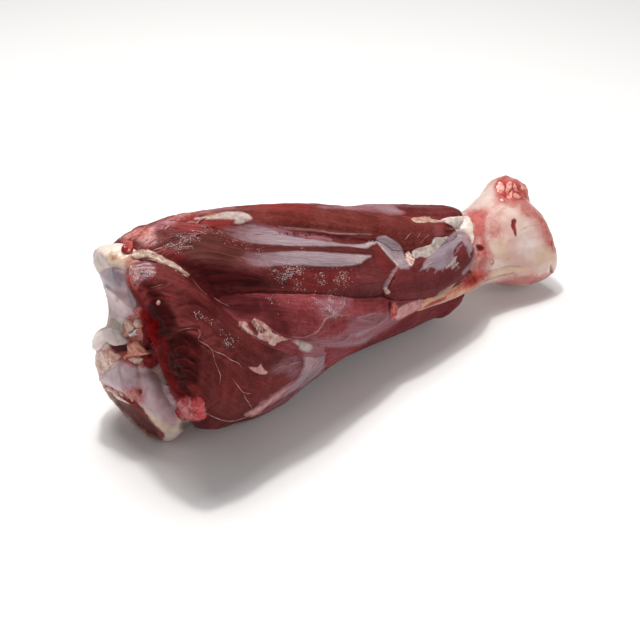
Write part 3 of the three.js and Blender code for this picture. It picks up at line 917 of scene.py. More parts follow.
def bone_relief(node, points, limb, values):
    """Swells, lumps and pitted cream of the bone, in mm."""
    scaled = points / MM
    swell = waves(scaled, BONE_SWELLS)
    lumpy = lumpy_relief(BONE_LUMPS, scaled, values, "raw")
    raw = waves(scaled, RAW_WAVES)
    polished = np.maximum(values["gristle"], values["lilac"])
    relief = swell * (1 - POLISH * polished) + lumpy + raw * values["raw"]
    return relief, fibre_places(node, limb)


def fused_body():
    """One surface over all the solids together, drawn taut across the clefts between them."""
    mesh = remeshed(welded(SLOTS), FUSED_VOXEL)
    smooth(mesh, FUSED_PASSES)
    move_points(mesh, points_of(mesh) + normals_of(mesh) * FUSED_SWELL * MM)
    mesh = remeshed(mesh, FUSED_VOXEL)
    smooth(mesh, FUSED_PASSES)
    move_points(mesh, points_of(mesh) - normals_of(mesh) * (FUSED_SWELL + SEAM_DEPTH) * MM)
    smooth(mesh, FUSED_PASSES)
    source = bmesh.new()
    source.from_mesh(mesh)
    tree = BVHTree.FromBMesh(source)
    source.free()
    return mesh, tree


def fill_clefts(mesh):
    """Moves a muscle's skin out to the fused surface where it dips beside a neighbour."""
    points = points_of(mesh)
    edges = edges_of(mesh)
    normals = normals_of(mesh)
    for _ in range(EVEN_PASSES):
        normals = neighbour_mean(edges, len(points), normals)
    normals /= np.maximum(np.linalg.norm(normals, axis=1), 1e-6)[:, None]
    moved = np.zeros_like(points)
    for k, (point, normal) in enumerate(zip(points, normals)):
        near, outward, _, _ = FUSED.find_nearest(Vector(point), CLEFT_REACH)
        if near is None:
            continue
        outward = np.array(outward)
        rise = float((np.array(near) - point) @ outward)
        if rise > 0:
            turned = ease(*CLEFT_TURN, np.array([float(normal @ outward)]))[0]
            moved[k] = outward * rise * turned
    for _ in range(EVEN_PASSES):
        moved = 0.5 * moved + 0.5 * neighbour_mean(edges, len(points), moved)
    move_points(mesh, points + moved)
    smooth(mesh, CLEFT_PASSES)


def make_skin(node):
    """The fine skin of one solid with its relief and its layers."""
    mesh = fine_mesh(node, VOXEL.get(node, USUAL_VOXEL))
    smooth(mesh, SMOOTH_PASSES)
    if node != "shank_bone":
        fill_clefts(mesh)
    points = points_of(mesh)
    normals = normals_of(mesh)
    values, lifted = mark_values(node, points, normals)
    relief_of = bone_relief if node == "shank_bone" else flesh_relief
    relief, fibre = relief_of(node, points, limb_places(points), values)
    points = points + normals * ((relief + lifted) * MM)[:, None]
    points[:, 2] = np.maximum(points[:, 2], 0.0)
    move_points(mesh, points)
    cluster = ease(*CLUSTER_EDGE, waves(points / MM, CLUSTERS))
    values["glints"] = values["glints"] * cluster
    values["crumbs"] = values["crumbs"] * (FEWEST_CRUMBS + (1 - FEWEST_CRUMBS) * cluster)
    keep_layers(mesh, values)
    set_values(mesh, "fibre", np.column_stack([fibre, np.zeros(len(fibre))]))
    mesh.shade_smooth()
    return mesh


# Finishes

LIGHT_GAIN = 0.8
COAT_ROUGHNESS = 0.16
GLOW_DEPTH = 0.003
FLESH_GLOW = (1.0, 0.28, 0.2)
PALE_GLOW = (1.0, 0.5, 0.4)
BUMP_DEPTH = 0.0008
FINE_BUMP_DEPTH = 0.0006


def seen(red, green, blue):
    """The surface colour that shows as this tone, 0 to 255, in the scene's light."""
    tone = np.array([red, green, blue]) / 255
    linear = np.where(tone <= 0.04045, tone / 12.92, ((tone + 0.055) / 1.055) ** 2.4)
    return (*np.clip(linear * LIGHT_GAIN, 0, 0.9), 1.0)


class Finish:
    """A node material under construction."""

    def __init__(self, name):
        self.material = bpy.data.materials.new(name)
        self.material.use_nodes = True
        self.nodes = self.material.node_tree.nodes
        self.links = self.material.node_tree.links
        self.surface = self.nodes["Principled BSDF"]
        self.place = self.nodes.new("ShaderNodeTexCoord").outputs["Object"]

    def put(self, value, socket):
        """Sets a socket to a number or colour, or links it."""
        if isinstance(value, bpy.types.NodeSocket):
            self.links.new(value, socket)
        else:
            socket.default_value = value

    def attribute(self, name, output="Fac"):
        """What the mesh keeps under a name."""
        node = self.nodes.new("ShaderNodeAttribute")
        node.attribute_name = name
        return node.outputs[output]

    def stretched(self, vector, scale):
        """A vector scaled on each axis."""
        node = self.nodes.new("ShaderNodeVectorMath")
        node.operation = "MULTIPLY"
        self.links.new(vector, node.inputs[0])
        node.inputs[1].default_value = scale
        return node.outputs[0]

    def noise(self, vector, scale, detail=3.0, roughness=0.55):
        """Noise from about 0 to 1; the scale is in swells for each metre, or each unit of the vector."""
        node = self.nodes.new("ShaderNodeTexNoise")
        self.links.new(vector, node.inputs["Vector"])
        node.inputs["Scale"].default_value = scale
        node.inputs["Detail"].default_value = detail
        node.inputs["Roughness"].default_value = roughness
        return node.outputs["Fac"]

    def math(self, operation, first, second):
        """One sum of two numbers or sockets."""
        node = self.nodes.new("ShaderNodeMath")
        node.operation = operation
        self.put(first, node.inputs[0])
        self.put(second, node.inputs[1])
        return node.outputs[0]

    def weighted(self, *parts):
        """The sum of sockets, each times its weight."""
        made = [self.math("MULTIPLY", socket, weight) for socket, weight in parts]
        total = made[0]
        for part in made[1:]:
            total = self.math("ADD", total, part)
        return total

    def step(self, value, low, high):
        """A smooth step from 0 at low to 1 at high."""
        node = self.nodes.new("ShaderNodeMapRange")
        node.interpolation_type = "SMOOTHSTEP"
        self.links.new(value, node.inputs["Value"])
        node.inputs["From Min"].default_value = low
        node.inputs["From Max"].default_value = high
        return node.outputs["Result"]

    def mix(self, share, first, second):
        """One colour going over to another."""
        node = self.nodes.new("ShaderNodeMix")
        node.data_type = "RGBA"
        self.put(share, node.inputs[0])
        self.put(first, node.inputs[6])
        self.put(second, node.inputs[7])
        return node.outputs[2]

    def blend(self, share, first, second):
        """One number going over to another."""
        node = self.nodes.new("ShaderNodeMix")
        self.put(share, node.inputs[0])
        self.put(first, node.inputs[2])
        self.put(second, node.inputs[3])
        return node.outputs[0]

    def bump(self, height, strength, distance):
        """Fine relief for the surface."""
        node = self.nodes.new("ShaderNodeBump")
        node.inputs["Strength"].default_value = strength
        node.inputs["Distance"].default_value = distance
        self.links.new(height, node.inputs["Height"])
        self.links.new(node.outputs["Normal"], self.surface.inputs["Normal"])


class Look(NamedTuple):
    """How a layer looks: its tones, how rough and ragged it is, how much it hides and its pattern."""

    light: tuple
    dark: tuple
    rough: float
    edge: float
    ragged: float
    hides: float
    pattern: str


LAYER_LOOKS = {
    "bony": Look((236, 214, 204), (214, 176, 166), 0.4, 0.45, 0.3, 0.95, "mottle"),
    "torn": Look((146, 88, 85), (82, 28, 30), 0.34, 0.45, 0.3, 0.85, "hair"),
    "brown": Look((100, 54, 48), (74, 36, 33), 0.5, 0.45, 0.35, 0.8, "streak"),
    # Dark red flesh, and painted shade in grooves, hollows, slits and under lumps
    "deep": Look((78, 19, 21), (46, 10, 13), 0.55, 0.5, 0.2, 0.88, "streak"),
    "blood": Look((148, 10, 16), (92, 4, 9), 1.0, 0.4, 0.5, 0.96, "mottle"),
    # Bright red cut flesh, and painted highlights on the ridges of wrinkles
    "fresh": Look((170, 62, 60), (132, 30, 34), 0.32, 0.45, 0.5, 0.8, "hair"),
    "veil": Look((174, 124, 134), (142, 86, 97), 0.32, 0.45, 0.5, 0.72, "hair"),
    "silver": Look((180, 163, 169), (146, 121, 130), 0.3, 0.42, 0.25, 0.93, "hair"),
    "beige": Look((204, 190, 184), (180, 158, 152), 0.38, 0.35, 0.35, 0.95, "mottle"),
    "sinew": Look((216, 192, 172), (168, 130, 116), 0.32, 0.3, 0.3, 0.95, "streak"),
    "fat": Look((234, 210, 198), (192, 132, 122), 0.38, 0.3, 0.7, 0.95, "mottle"),
    "pink": Look((226, 176, 172), (206, 140, 138), 0.36, 0.3, 0.5, 0.9, "mottle"),
    "fatred": Look((214, 126, 116), (180, 60, 58), 0.25, 0.35, 0.6, 0.92, "mottle"),
    "gristle": Look((220, 190, 196), (204, 162, 170), 0.28, 0.4, 0.15, 0.97, "mottle"),
    "lilac": Look((150, 138, 156), (136, 122, 142), 0.28, 0.5, 0.2, 0.75, "mottle"),
    "cream": Look((252, 242, 236), (240, 216, 202), 0.36, 0.45, 0.5, 0.94, "mottle"),
    "pinkish": Look((202, 118, 111), (184, 88, 85), 0.34, 0.42, 0.5, 0.9, "mottle"),
    # Pale tissue, and painted light and highlights on the bone
    "bright": Look((240, 226, 220), (228, 210, 202), 0.34, 0.5, 0.3, 0.9, "mottle"),
    "raw": Look((206, 92, 84), (164, 34, 34), 0.24, 0.45, 0.6, 0.88, "mottle"),
    "tallow": Look((232, 206, 176), (224, 188, 156), 0.36, 0.5, 0.5, 0.8, "mottle"),
    "stain": Look((168, 116, 76), (136, 82, 56), 0.42, 0.45, 0.4, 0.8, "mottle"),
}
FLESH_LAYERS = "brown torn deep fresh veil silver lilac beige sinew fat pink stain fatred raw blood".split()
BONE_LAYERS = (
    "pinkish bright cream tallow gristle lilac silver beige sinew fat stain fatred fresh raw blood deep"
).split()


def finish_layers(finish, mesh_layers, base, rough, patterns):
    """Lays the marks over a base colour; returns colour and roughness."""
    colour = base
    fray = finish.noise(finish.place, 420.0, 4.0, 0.6)
    for layer in mesh_layers:
        look = LAYER_LOOKS[layer]
        swing = finish.math("MULTIPLY_ADD", fray, 2 * look.ragged)
        swing.node.inputs[2].default_value = 1 - look.ragged
        value = finish.math("MULTIPLY", finish.attribute(layer), swing)
        share = finish.math("MULTIPLY", finish.step(value, 0.5 - look.edge, 0.5 + look.edge), look.hides)
        tone = finish.mix(patterns[look.pattern], seen(*look.dark), seen(*look.light))
        colour = finish.mix(share, colour, tone)
        rough = finish.blend(share, rough, look.rough)
    return colour, rough


def flesh_finish(name, layers, low, high):
    """Moist muscle: fibres, mottling and fine grain, under the marks in layers."""
    finish = Finish(name)
    fibre = finish.attribute("fibre", "Vector")
    streak = finish.noise(finish.stretched(fibre, (0.04, 0.7, 1.0)), 1.0, 4.0, 0.6)
    hair = finish.noise(finish.stretched(fibre, (0.05, 1.6, 1.0)), 1.0, 4.0, 0.65)
    mottle = finish.noise(finish.place, 210.0, 5.0, 0.7)
    broad = finish.noise(finish.place, 38.0, 3.0, 0.6)
    grain = finish.noise(finish.place, 800.0, 3.0, 0.65)
    mixed = finish.weighted((streak, 0.3), (broad, 0.35), (mottle, 0.35))
    base = finish.mix(finish.step(mixed, 0.38, 0.62), seen(*low), seen(*high))
    darker = tuple(0.55 * c for c in low)
    base = finish.mix(finish.math("MULTIPLY", finish.step(grain, 0.60, 0.38), 0.3), base, seen(*darker))
    paler = tuple(c + 40 for c in high)
    base = finish.mix(finish.math("MULTIPLY", finish.step(hair, 0.58, 0.74), 0.3), base, seen(*paler))
    rough = finish.blend(mottle, 0.28, 0.56)
    patterns = {
        "streak": finish.step(streak, 0.35, 0.65),
        "hair": finish.step(hair, 0.36, 0.64),
        "mottle": finish.step(mottle, 0.36, 0.62),
    }
    colour, rough = finish_layers(finish, layers, base, rough, patterns)
    sparkle = finish.attribute("glints")
    rough = finish.blend(sparkle, rough, 0.16)
    wet(finish, colour, rough, finish.math("MULTIPLY", sparkle, 0.5), gloss=0.03)
    pebble = finish.math("MULTIPLY", finish.noise(finish.place, 620.0, 2.0, 0.5), sparkle)
    height = finish.weighted((streak, 0.35), (grain, 0.5), (hair, 0.4), (pebble, 1.6))
    finish.bump(height, 0.4, BUMP_DEPTH)
    return finish.material


def wet(finish, colour, rough, coat, glow=0.1, radius=FLESH_GLOW, gloss=0.25):
    """Links colour and roughness, and gives the surface its moist coat and soft depth."""
    shader = finish.surface
    finish.put(colour, shader.inputs["Base Color"])
    finish.put(rough, shader.inputs["Roughness"])
    shader.inputs["Specular IOR Level"].default_value = gloss
    finish.put(coat, shader.inputs["Coat Weight"])
    shader.inputs["Coat Roughness"].default_value = COAT_ROUGHNESS
    shader.inputs["Subsurface Weight"].default_value = glow
    shader.inputs["Subsurface Radius"].default_value = radius
    shader.inputs["Subsurface Scale"].default_value = GLOW_DEPTH


def bone_finish(name, layers):
    """Fresh bone end: pink-cream covering, smooth gristle and bloody fat."""
    finish = Finish(name)
    mottle = finish.noise(finish.place, 150.0, 5.0, 0.68)
    broad = finish.noise(finish.place, 34.0, 3.0, 0.55)
    veins = finish.noise(finish.stretched(finish.place, (60.0, 180.0, 180.0)), 1.0, 4.0, 0.6)
    grain = finish.noise(finish.place, 700.0, 2.0, 0.6)
    base = finish.mix(finish.step(broad, 0.36, 0.64), seen(222, 180, 169), seen(242, 218, 208))
    blush = finish.math("MULTIPLY", finish.step(veins, 0.52, 0.74), 0.6)
    base = finish.mix(blush, base, seen(212, 136, 128))
    rough = finish.blend(mottle, 0.26, 0.48)
    streak = finish.step(veins, 0.36, 0.62)
    patterns = {"streak": streak, "hair": streak, "mottle": finish.step(mottle, 0.36, 0.64)}
    colour, rough = finish_layers(finish, layers, base, rough, patterns)
    wet(finish, colour, rough, 0.12, 0.16, PALE_GLOW, 0.3)
    finish.bump(finish.weighted((mottle, 0.7), (grain, 0.3)), 0.3, BUMP_DEPTH)
    return finish.material


def tissue_finish(name, low, high, rough_low, rough_high, coat=0.25, rim=None, gloss=0.25):
    """Fat, sinew or clotted bits: two tones in soft mottling, and a third along the edges of a lobe."""
    finish = Finish(name)
    broad = finish.noise(finish.place, 170.0, 4.0, 0.65)
    grain = finish.noise(finish.place, 600.0, 3.0, 0.6)
    colour = finish.mix(finish.step(broad, 0.38, 0.62), seen(*low), seen(*high))
    if rim:
        edge = finish.math("ADD", finish.attribute("rim"), finish.math("MULTIPLY", broad, 0.9))
        colour = finish.mix(finish.math("MULTIPLY", finish.step(edge, 1.05, 1.5), 0.8), colour, seen(*rim))
    wet(finish, colour, finish.blend(grain, rough_low, rough_high), coat, 0.2, PALE_GLOW, gloss)
    finish.bump(grain, 0.3, FINE_BUMP_DEPTH)
    return finish.material


# The muscles' own tones, darker and lighter
MUSCLE_TONES = {
    "banded_muscle": ((88, 36, 36), (120, 54, 52)),
    "belly_muscle": ((128, 49, 53), (164, 82, 86)),
    "front_muscle": ((92, 34, 34), (126, 56, 55)),
    "top_muscle": ((104, 40, 37), (136, 66, 60)),
    "wrist_muscle": ((104, 42, 45), (134, 60, 63)),
    "far_muscle": ((98, 38, 40), (130, 60, 60)),
    "under_muscle": ((108, 40, 44), (144, 62, 66)),
    "back_muscle": ((92, 36, 37), (126, 58, 57)),
    "tendon_strand": ((226, 146, 118), (244, 200, 168)),
}
SLOTS = {
    "banded_muscle": "muscle_red",
    "belly_muscle": "muscle_pale",
    "front_muscle": "muscle_red",
    "top_muscle": "muscle_red",
    "wrist_muscle": "muscle_dark",
    "far_muscle": "muscle_red",
    "under_muscle": "muscle_dark",
    "back_muscle": "muscle_red",
    "tendon_strand": "tendon",
    "shank_bone": "bone",
}


def new_piece(name, mesh, material):
    """A piece of the shank, in place, riding on the one body."""
    mesh.name = name
    mesh.materials.clear()
    mesh.materials.append(material)
    piece = bpy.data.objects.new(name, mesh)
    bpy.context.collection.objects.link(piece)
    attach(piece, "root")
    return piece


def make_muscles_and_bone():
    """Every solid's skin as a piece; returns the meshes by node."""
    skins = {}
    for node, slot in SLOTS.items():
        mesh = make_skin(node)
        wanted = BONE_LAYERS if node == "shank_bone" else FLESH_LAYERS
        layers = [layer for layer in wanted if layer in mesh.attributes]
        if node == "shank_bone":
            material = bone_finish("bone_and_gristle", layers)
        else:
            low, high = MUSCLE_TONES[node]
            material = flesh_finish(node + "_flesh", layers, low, high)
        piece = new_piece(node + "_skin", mesh, material)
        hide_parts(node)
        skins[node] = piece
    return skins


# Landing places on the skins


def skin_trees(skins):
    """A search tree for each skin, to land small pieces on it."""
    evaluated = bpy.context.evaluated_depsgraph_get()
    return {node: BVHTree.FromObject(piece, evaluated) for node, piece in skins.items()}


def land(trees, place, nodes, limb=False):
    """The point and normal where a line of sight, or one from round the limb, meets the skin."""
    start, line = limb_ray(place) if limb else picture_ray(place)
    found = None
    for node in nodes:
        point, normal, _, gap = trees[node].ray_cast(Vector(start), Vector(line))
        if point is not None and (found is None or gap < found[2]):
            found = (np.array(point), np.array(normal), gap)
    return found


# Geometry node trees


class Tree:
    """A geometry node tree under construction, with named inputs for its sizes."""

    def __init__(self, name, **inputs):
        self.tree = bpy.data.node_groups.new(name, "GeometryNodeTree")
        face = self.tree.interface
        face.new_socket("Geometry", in_out="INPUT", socket_type="NodeSocketGeometry")
        self.kept = {}
        for label, value in inputs.items():
            kind = "NodeSocketInt" if isinstance(value, int) else "NodeSocketFloat"
            socket = face.new_socket(label, in_out="INPUT", socket_type=kind)
            self.kept[label] = (socket.identifier, value)
        face.new_socket("Geometry", in_out="OUTPUT", socket_type="NodeSocketGeometry")
        self.start = self.tree.nodes.new("NodeGroupInput")
        self.end = self.tree.nodes.new("NodeGroupOutput")

    def node(self, kind, links=None, **settings):
        """One node; links gives its inputs, as sockets to link or values to set."""
        made = self.tree.nodes.new(kind)
        for name, value in settings.items():
            setattr(made, name, value)
        for key, value in (links or {}).items():
            if isinstance(value, bpy.types.NodeSocket):
                self.tree.links.new(value, made.inputs[key])
            else:
                made.inputs[key].default_value = value
        return made

    def finish(self, geometry, material):
        """Ends the tree in real geometry with its material."""
        real = self.node("GeometryNodeRealizeInstances", {"Geometry": geometry})
        dressed = self.node(
            "GeometryNodeSetMaterial", {"Geometry": real.outputs["Geometry"], "Material": material}
        )
        self.tree.links.new(dressed.outputs["Geometry"], self.end.inputs[0])

    def grown_on(self, mesh, **values):
        """The plain mesh that the tree makes from a mesh."""
        carrier = bpy.data.objects.new("carrier", mesh)
        bpy.context.collection.objects.link(carrier)
        modifier = carrier.modifiers.new("grow", "NODES")
        modifier.node_group = self.tree
        for label, (identifier, usual) in self.kept.items():
            modifier[identifier] = values.get(label, usual)
        made = bpy.data.meshes.new_from_object(carrier.evaluated_get(bpy.context.evaluated_depsgraph_get()))
        carrier.modifiers.remove(modifier)
        bpy.data.objects.remove(carrier)
        return made


def named_value(tree, name, kind="FLOAT"):
    """What the mesh keeps under a name, inside a tree."""
    made = tree.node("GeometryNodeInputNamedAttribute", {"Name": name}, data_type=kind)
    return made.outputs["Attribute"]


def times(tree, first, second):
    """The product of two numbers inside a tree."""
    return tree.node("ShaderNodeMath", {0: first, 1: second}, operation="MULTIPLY").outputs[0]


def random_size(tree, smallest, largest, seed):
    """A random number for each instance."""
    made = tree.node("FunctionNodeRandomValue", {"Seed": seed}, data_type="FLOAT")
    tree.tree.links.new(smallest, made.inputs[2])
    tree.tree.links.new(largest, made.inputs[3])
    return made.outputs[1]


def thread_tree(material):
    """Thin threads that follow paths over the flesh."""
    tree = Tree("threads", Thickness=1.0, Sides=6)
    line = tree.node("GeometryNodeMeshToCurve", {"Mesh": tree.start.outputs["Geometry"]})
    ring = tree.node("GeometryNodeCurvePrimitiveCircle", {
        "Resolution": tree.start.outputs["Sides"], "Radius": MM})
    girth = times(tree, named_value(tree, "girth"), tree.start.outputs["Thickness"])
    sized = tree.node("GeometryNodeSetCurveRadius", {"Curve": line.outputs["Curve"], "Radius": girth})
    tube = tree.node("GeometryNodeCurveToMesh", {
        "Curve": sized.outputs["Curve"], "Profile Curve": ring.outputs["Curve"], "Fill Caps": True})
    if "Scale" in tube.inputs:
        tree.tree.links.new(girth, tube.inputs["Scale"])
    soft = tree.node("GeometryNodeSetShadeSmooth", {"Geometry": tube.outputs["Mesh"]})
    tree.finish(soft.outputs["Geometry"], material)
    return tree


def fleck_tree(material, kept_under):
    """Small flattened crumbs scattered where the skin asks for them; the same tree scatters the pale beads
    that are painted highlights.
    """
    tree = Tree("flecks", Density=60000.0, Smallest=0.4 * MM, Largest=1.0 * MM, Seed=4)
    inputs = tree.start.outputs
    density = times(tree, named_value(tree, kept_under), inputs["Density"])
    points = tree.node("GeometryNodeDistributePointsOnFaces", {
        "Mesh": inputs["Geometry"], "Density": density, "Seed": inputs["Seed"]})
    crumb = tree.node("GeometryNodeMeshIcoSphere", {"Radius": 1.0, "Subdivisions": 1})
    flat = tree.node("GeometryNodeTransform", {"Geometry": crumb.outputs["Mesh"], "Scale": (1.0, 0.7, 0.5)})
    smooth_crumb = tree.node("GeometryNodeSetShadeSmooth", {"Geometry": flat.outputs["Geometry"]})
    size = random_size(tree, inputs["Smallest"], inputs["Largest"], inputs["Seed"])
    placed = tree.node("GeometryNodeInstanceOnPoints", {
        "Points": points.outputs["Points"], "Instance": smooth_crumb.outputs["Geometry"],
        "Rotation": points.outputs["Rotation"], "Scale": size})
    tree.finish(placed.outputs["Instances"], material)
    return tree


def strand_tree(material):
    """Short torn strands that lie along the fibres."""
    tree = Tree("torn_strands", Density=9000.0, Shortest=5.0 * MM, Longest=13.0 * MM, Seed=9)
    inputs = tree.start.outputs
    density = times(tree, named_value(tree, "torn"), inputs["Density"])
    points = tree.node("GeometryNodeDistributePointsOnFaces", {
        "Mesh": inputs["Geometry"], "Density": density, "Seed": inputs["Seed"]})
    bow = tree.node("GeometryNodeCurveQuadraticBezier", {
        "Resolution": 7, "Start": (-0.5, 0.0, -0.02), "Middle": (0.0, 0.05, 0.12), "End": (0.5, 0.0, -0.01)})
    along = tree.node("GeometryNodeSplineParameter").outputs["Factor"]
    left = tree.node("ShaderNodeMath", {0: 1.0, 1: along}, operation="SUBTRACT").outputs[0]
    hump = times(tree, along, left)
    taper = tree.node("ShaderNodeMath", {0: hump, 1: 3.2, 2: 0.2}, operation="MULTIPLY_ADD").outputs[0]
    sized = tree.node("GeometryNodeSetCurveRadius", {"Curve": bow.outputs["Curve"], "Radius": taper})
    ring = tree.node("GeometryNodeCurvePrimitiveCircle", {"Resolution": 5, "Radius": 0.055})
    tube = tree.node("GeometryNodeCurveToMesh", {
        "Curve": sized.outputs["Curve"], "Profile Curve": ring.outputs["Curve"], "Fill Caps": True})
    if "Scale" in tube.inputs:
        tree.tree.links.new(taper, tube.inputs["Scale"])
    strand = tree.node("GeometryNodeSetShadeSmooth", {"Geometry": tube.outputs["Mesh"]})
    laid = tree.node("FunctionNodeAlignRotationToVector", {
        "Rotation": points.outputs["Rotation"], "Vector": named_value(tree, "lie", "FLOAT_VECTOR")},
        axis="X", pivot_axis="Z")
    turn = tree.node("FunctionNodeRandomValue", {
        0: (-0.05, -0.12, -0.35), 1: (0.05, 0.12, 0.35), "Seed": inputs["Seed"]}, data_type="FLOAT_VECTOR")
    turned = tree.node("FunctionNodeRotateRotation", {
        "Rotation": laid.outputs["Rotation"], "Rotate By": turn.outputs[0]}, rotation_space="LOCAL")
    size = random_size(tree, inputs["Shortest"], inputs["Longest"], inputs["Seed"])
    placed = tree.node("GeometryNodeInstanceOnPoints", {
        "Points": points.outputs["Points"], "Instance": strand.outputs["Geometry"],
        "Rotation": turned.outputs["Rotation"], "Scale": size})
    tree.finish(placed.outputs["Instances"], material)
    return tree


def joined(meshes, name):
    """Several meshes as one; those handed in are removed."""
    source = bmesh.new()
    for mesh in meshes:
        source.from_mesh(mesh)
        bpy.data.meshes.remove(mesh)
    made = bpy.data.meshes.new(name)
    source.to_mesh(made)
    source.free()
    made.shade_smooth()
    return made


# Threads of fat and membrane

FRONT = "front belly banded under"
WRIST = "wrist banded top belly bone strand"
# Each thread: its girth, the nodes it lies on and its path
FAT_THREADS = [
    (0.55, FRONT, "198,340 203,343 208,346 212,351 214,357"),
    (0.45, FRONT, "209,348 216,352 224,355 231,360 238,363 242,368"),
    (0.45, FRONT, "213,354 215,362 218,369 220.5,376 219.5,385"),
    (0.6, FRONT, "232,378 235,382 238,386 243,392 247,393 251,393.5"),
    (0.4, FRONT, "243,394 246,399 249,403 253,410"),
    (0.45, FRONT, "271,372 280,367 285,365.5 293,363.5 301,361.5"),
    (0.5, FRONT, "200,411 206,413 212,416 222,420 231,421 243,418 256,411"),
    (0.35, FRONT, "197,328 199.5,331 200,335 198,339"),
    (0.35, FRONT, "178,331 186,328.5 196,328"),
    (0.35, FRONT, "150,288 156,286.5 163,284"),
    (0.35, FRONT, "214,298 222,303 229,306"),
    (0.4, FRONT, "324,367 332,365.5 339,360.5 347,356"),
    (0.5, WRIST, "397,267 394,273 391,279 387,285 385,288 384.5,293 390,295"),
    (0.4, WRIST, "431,302 437,300 443,297"),
    (0.35, WRIST, "405,240 408,236 411,233"),
    (0.35, WRIST, "421,243 425,238 429,235"),
    (0.3, WRIST, "417,238 419,235 421,232"),
    (0.3, WRIST, "448,229 455,229 459,229"),
]
MEMBRANE_THREADS = [
    (0.5, FRONT, "292,337 302,337.5 310,335 318,331 324,321 329,317 337,315 351,316"),
    (0.4, FRONT, "328,311 335,314 341,308 345,305 348,301"),
    (0.45, FRONT, "343,342 352,335 361,331 375,326 386,317"),
    (0.4, FRONT, "356,318.5 364,316 371,314.5 382,313"),
    (0.35, FRONT, "357,318.5 362,319.5 373,322"),
    (0.4, FRONT, "313,342 328,343.5 338,342.5 346,339 353,335"),
    (0.4, FRONT, "358,340 370,334 385,327 395,321 404,316.5"),
    (0.35, FRONT, "284,293.5 292,295.5 299,298 308,301"),
    (0.35, FRONT, "304,351 304.5,362 302,371 294,381"),
    (0.4, FRONT, "270,328 277,333 286,338 300,340 312,343 322,346"),
    (0.45, WRIST, "477.5,247 478,252 477,257 472,264 466,271"),
    (0.5, WRIST, "280,227 292,228 303,229 313,229.5 322,231"),
    (0.4, WRIST, "336,234 345,234.5 352,234.5 362,234 371,234.5"),
]
AWAY = "back far under top bone"
AWAY_THREADS = [
    (0.6, AWAY, "-140,176 -110,180 -60,179 -10,176 40,168 80,160"),
    (0.5, AWAY, "-60,179 -40,188 -10,194 20,196"),
    (0.6, AWAY, "-130,250 -90,246 -30,244 30,250 70,256"),
    (0.45, AWAY, "-120,214 -90,220 -60,220 -20,218"),
    (0.45, AWAY, "-100,132 -60,128 -20,120 20,108 50,98"),
    (0.45, AWAY, "10,240 36,244 60,240 84,230"),
]
THREAD_GIRTH = 0.62
THREAD_LIFT = 0.1 * MM
THREAD_TAPER = (0.35, 3.0)
THREAD_WAVES = ((0.45, 3.0, 27),)
THREAD_MEAN = 0.75
TISSUE_DEPTH = 0.45
ROUGH_DEPTH = 1.3
TISSUE_REACH = 0.02
TISSUE_LOWEST = 0.3 * MM
BONY_EDGE = (3.4 * MM, 2.2 * MM)
CRUMBS = {"Density": 230000.0, "Smallest": 0.25 * MM, "Largest": 0.8 * MM}
GLINTS = {"Density": 1500000.0, "Smallest": 0.1 * MM, "Largest": 0.38 * MM, "Seed": 6}
STRAND_RUN = np.array([1.0, 0.0, -0.1])


def thread_paths(trees, threads, limb=False):
    """The threads as lines of points on the skin, thinner to their ends."""
    points, edges, girths = [], [], []
    tip, widening = THREAD_TAPER
    for girth, nodes, path in threads:
        line = rounded(path, False)
        landed = [land(trees, place, nodes_named(nodes), limb) for place in line]
        last = None
        for k, spot in enumerate(landed):
            if spot is None:
                last = None
                continue
            taper = min(1.0, tip + widening * min(k, len(landed) - 1 - k) / len(landed))
            points.append(spot[0] + spot[1] * THREAD_LIFT)
            uneven = THREAD_MEAN + waves(spot[0][None] / MM, THREAD_WAVES)[0]
            girths.append(THREAD_GIRTH * girth * taper * uneven)
            if last is not None:
                edges.append((last, len(points) - 1))
            last = len(points) - 1
    mesh = bpy.data.meshes.new("thread_paths")
    mesh.from_pydata([tuple(point) for point in points], edges, [])
    set_values(mesh, "girth", np.array(girths))
    return mesh


def make_binding_tissue(mesh, trees):
    """The moist tissue that shows at the bottom of the clefts between muscles and bone."""
    points = points_of(mesh)
    normals = normals_of(mesh)
    values, lifted = mark_values(None, points, normals)
    rough = np.maximum.reduce([values["torn"], values["lumpy"], values["wrinkled"]])
    inward = waves(points / MM, SWELLS) + np.minimum(lifted, 0.0) - TISSUE_DEPTH - ROUGH_DEPTH * rough
    points = points + normals * (inward * MM)[:, None]
    points[:, 2] = np.maximum(points[:, 2], TISSUE_LOWEST)
    move_points(mesh, points)
    bone = trees["shank_bone"]
    near = [bone.find_nearest(Vector(point), TISSUE_REACH)[3] for point in points]
    gaps = np.array([TISSUE_REACH if gap is None else gap for gap in near])
    values["bony"] = ease(*BONY_EDGE, gaps)
    keep_layers(mesh, values)
    set_values(mesh, "fibre", points / MM)
    mesh.shade_smooth()
    order = ["bony"] + BONE_LAYERS[:-2] + FLESH_LAYERS
    layers = [layer for layer in order if layer in mesh.attributes]
    material = flesh_finish("binding_tissue", list(dict.fromkeys(layers)), (66, 22, 24), (98, 38, 38))
    new_piece("binding_tissue", mesh, material)


def make_threads(trees):
    """Threads of fat, and edges of torn membrane."""
    fat = tissue_finish("fat_thread", (168, 108, 104), (210, 160, 152), 0.35, 0.5)
    membrane = tissue_finish("membrane_edge", (150, 92, 96), (188, 134, 136), 0.3, 0.45)
    tree = thread_tree(fat)
    shown = tree.grown_on(thread_paths(trees, FAT_THREADS))
    away = tree.grown_on(thread_paths(trees, AWAY_THREADS, True))
    new_piece("fat_threads", joined([shown, away], "fat_threads"), fat)
    made = thread_tree(membrane).grown_on(thread_paths(trees, MEMBRANE_THREADS))
    new_piece("membrane_edges", made, membrane)


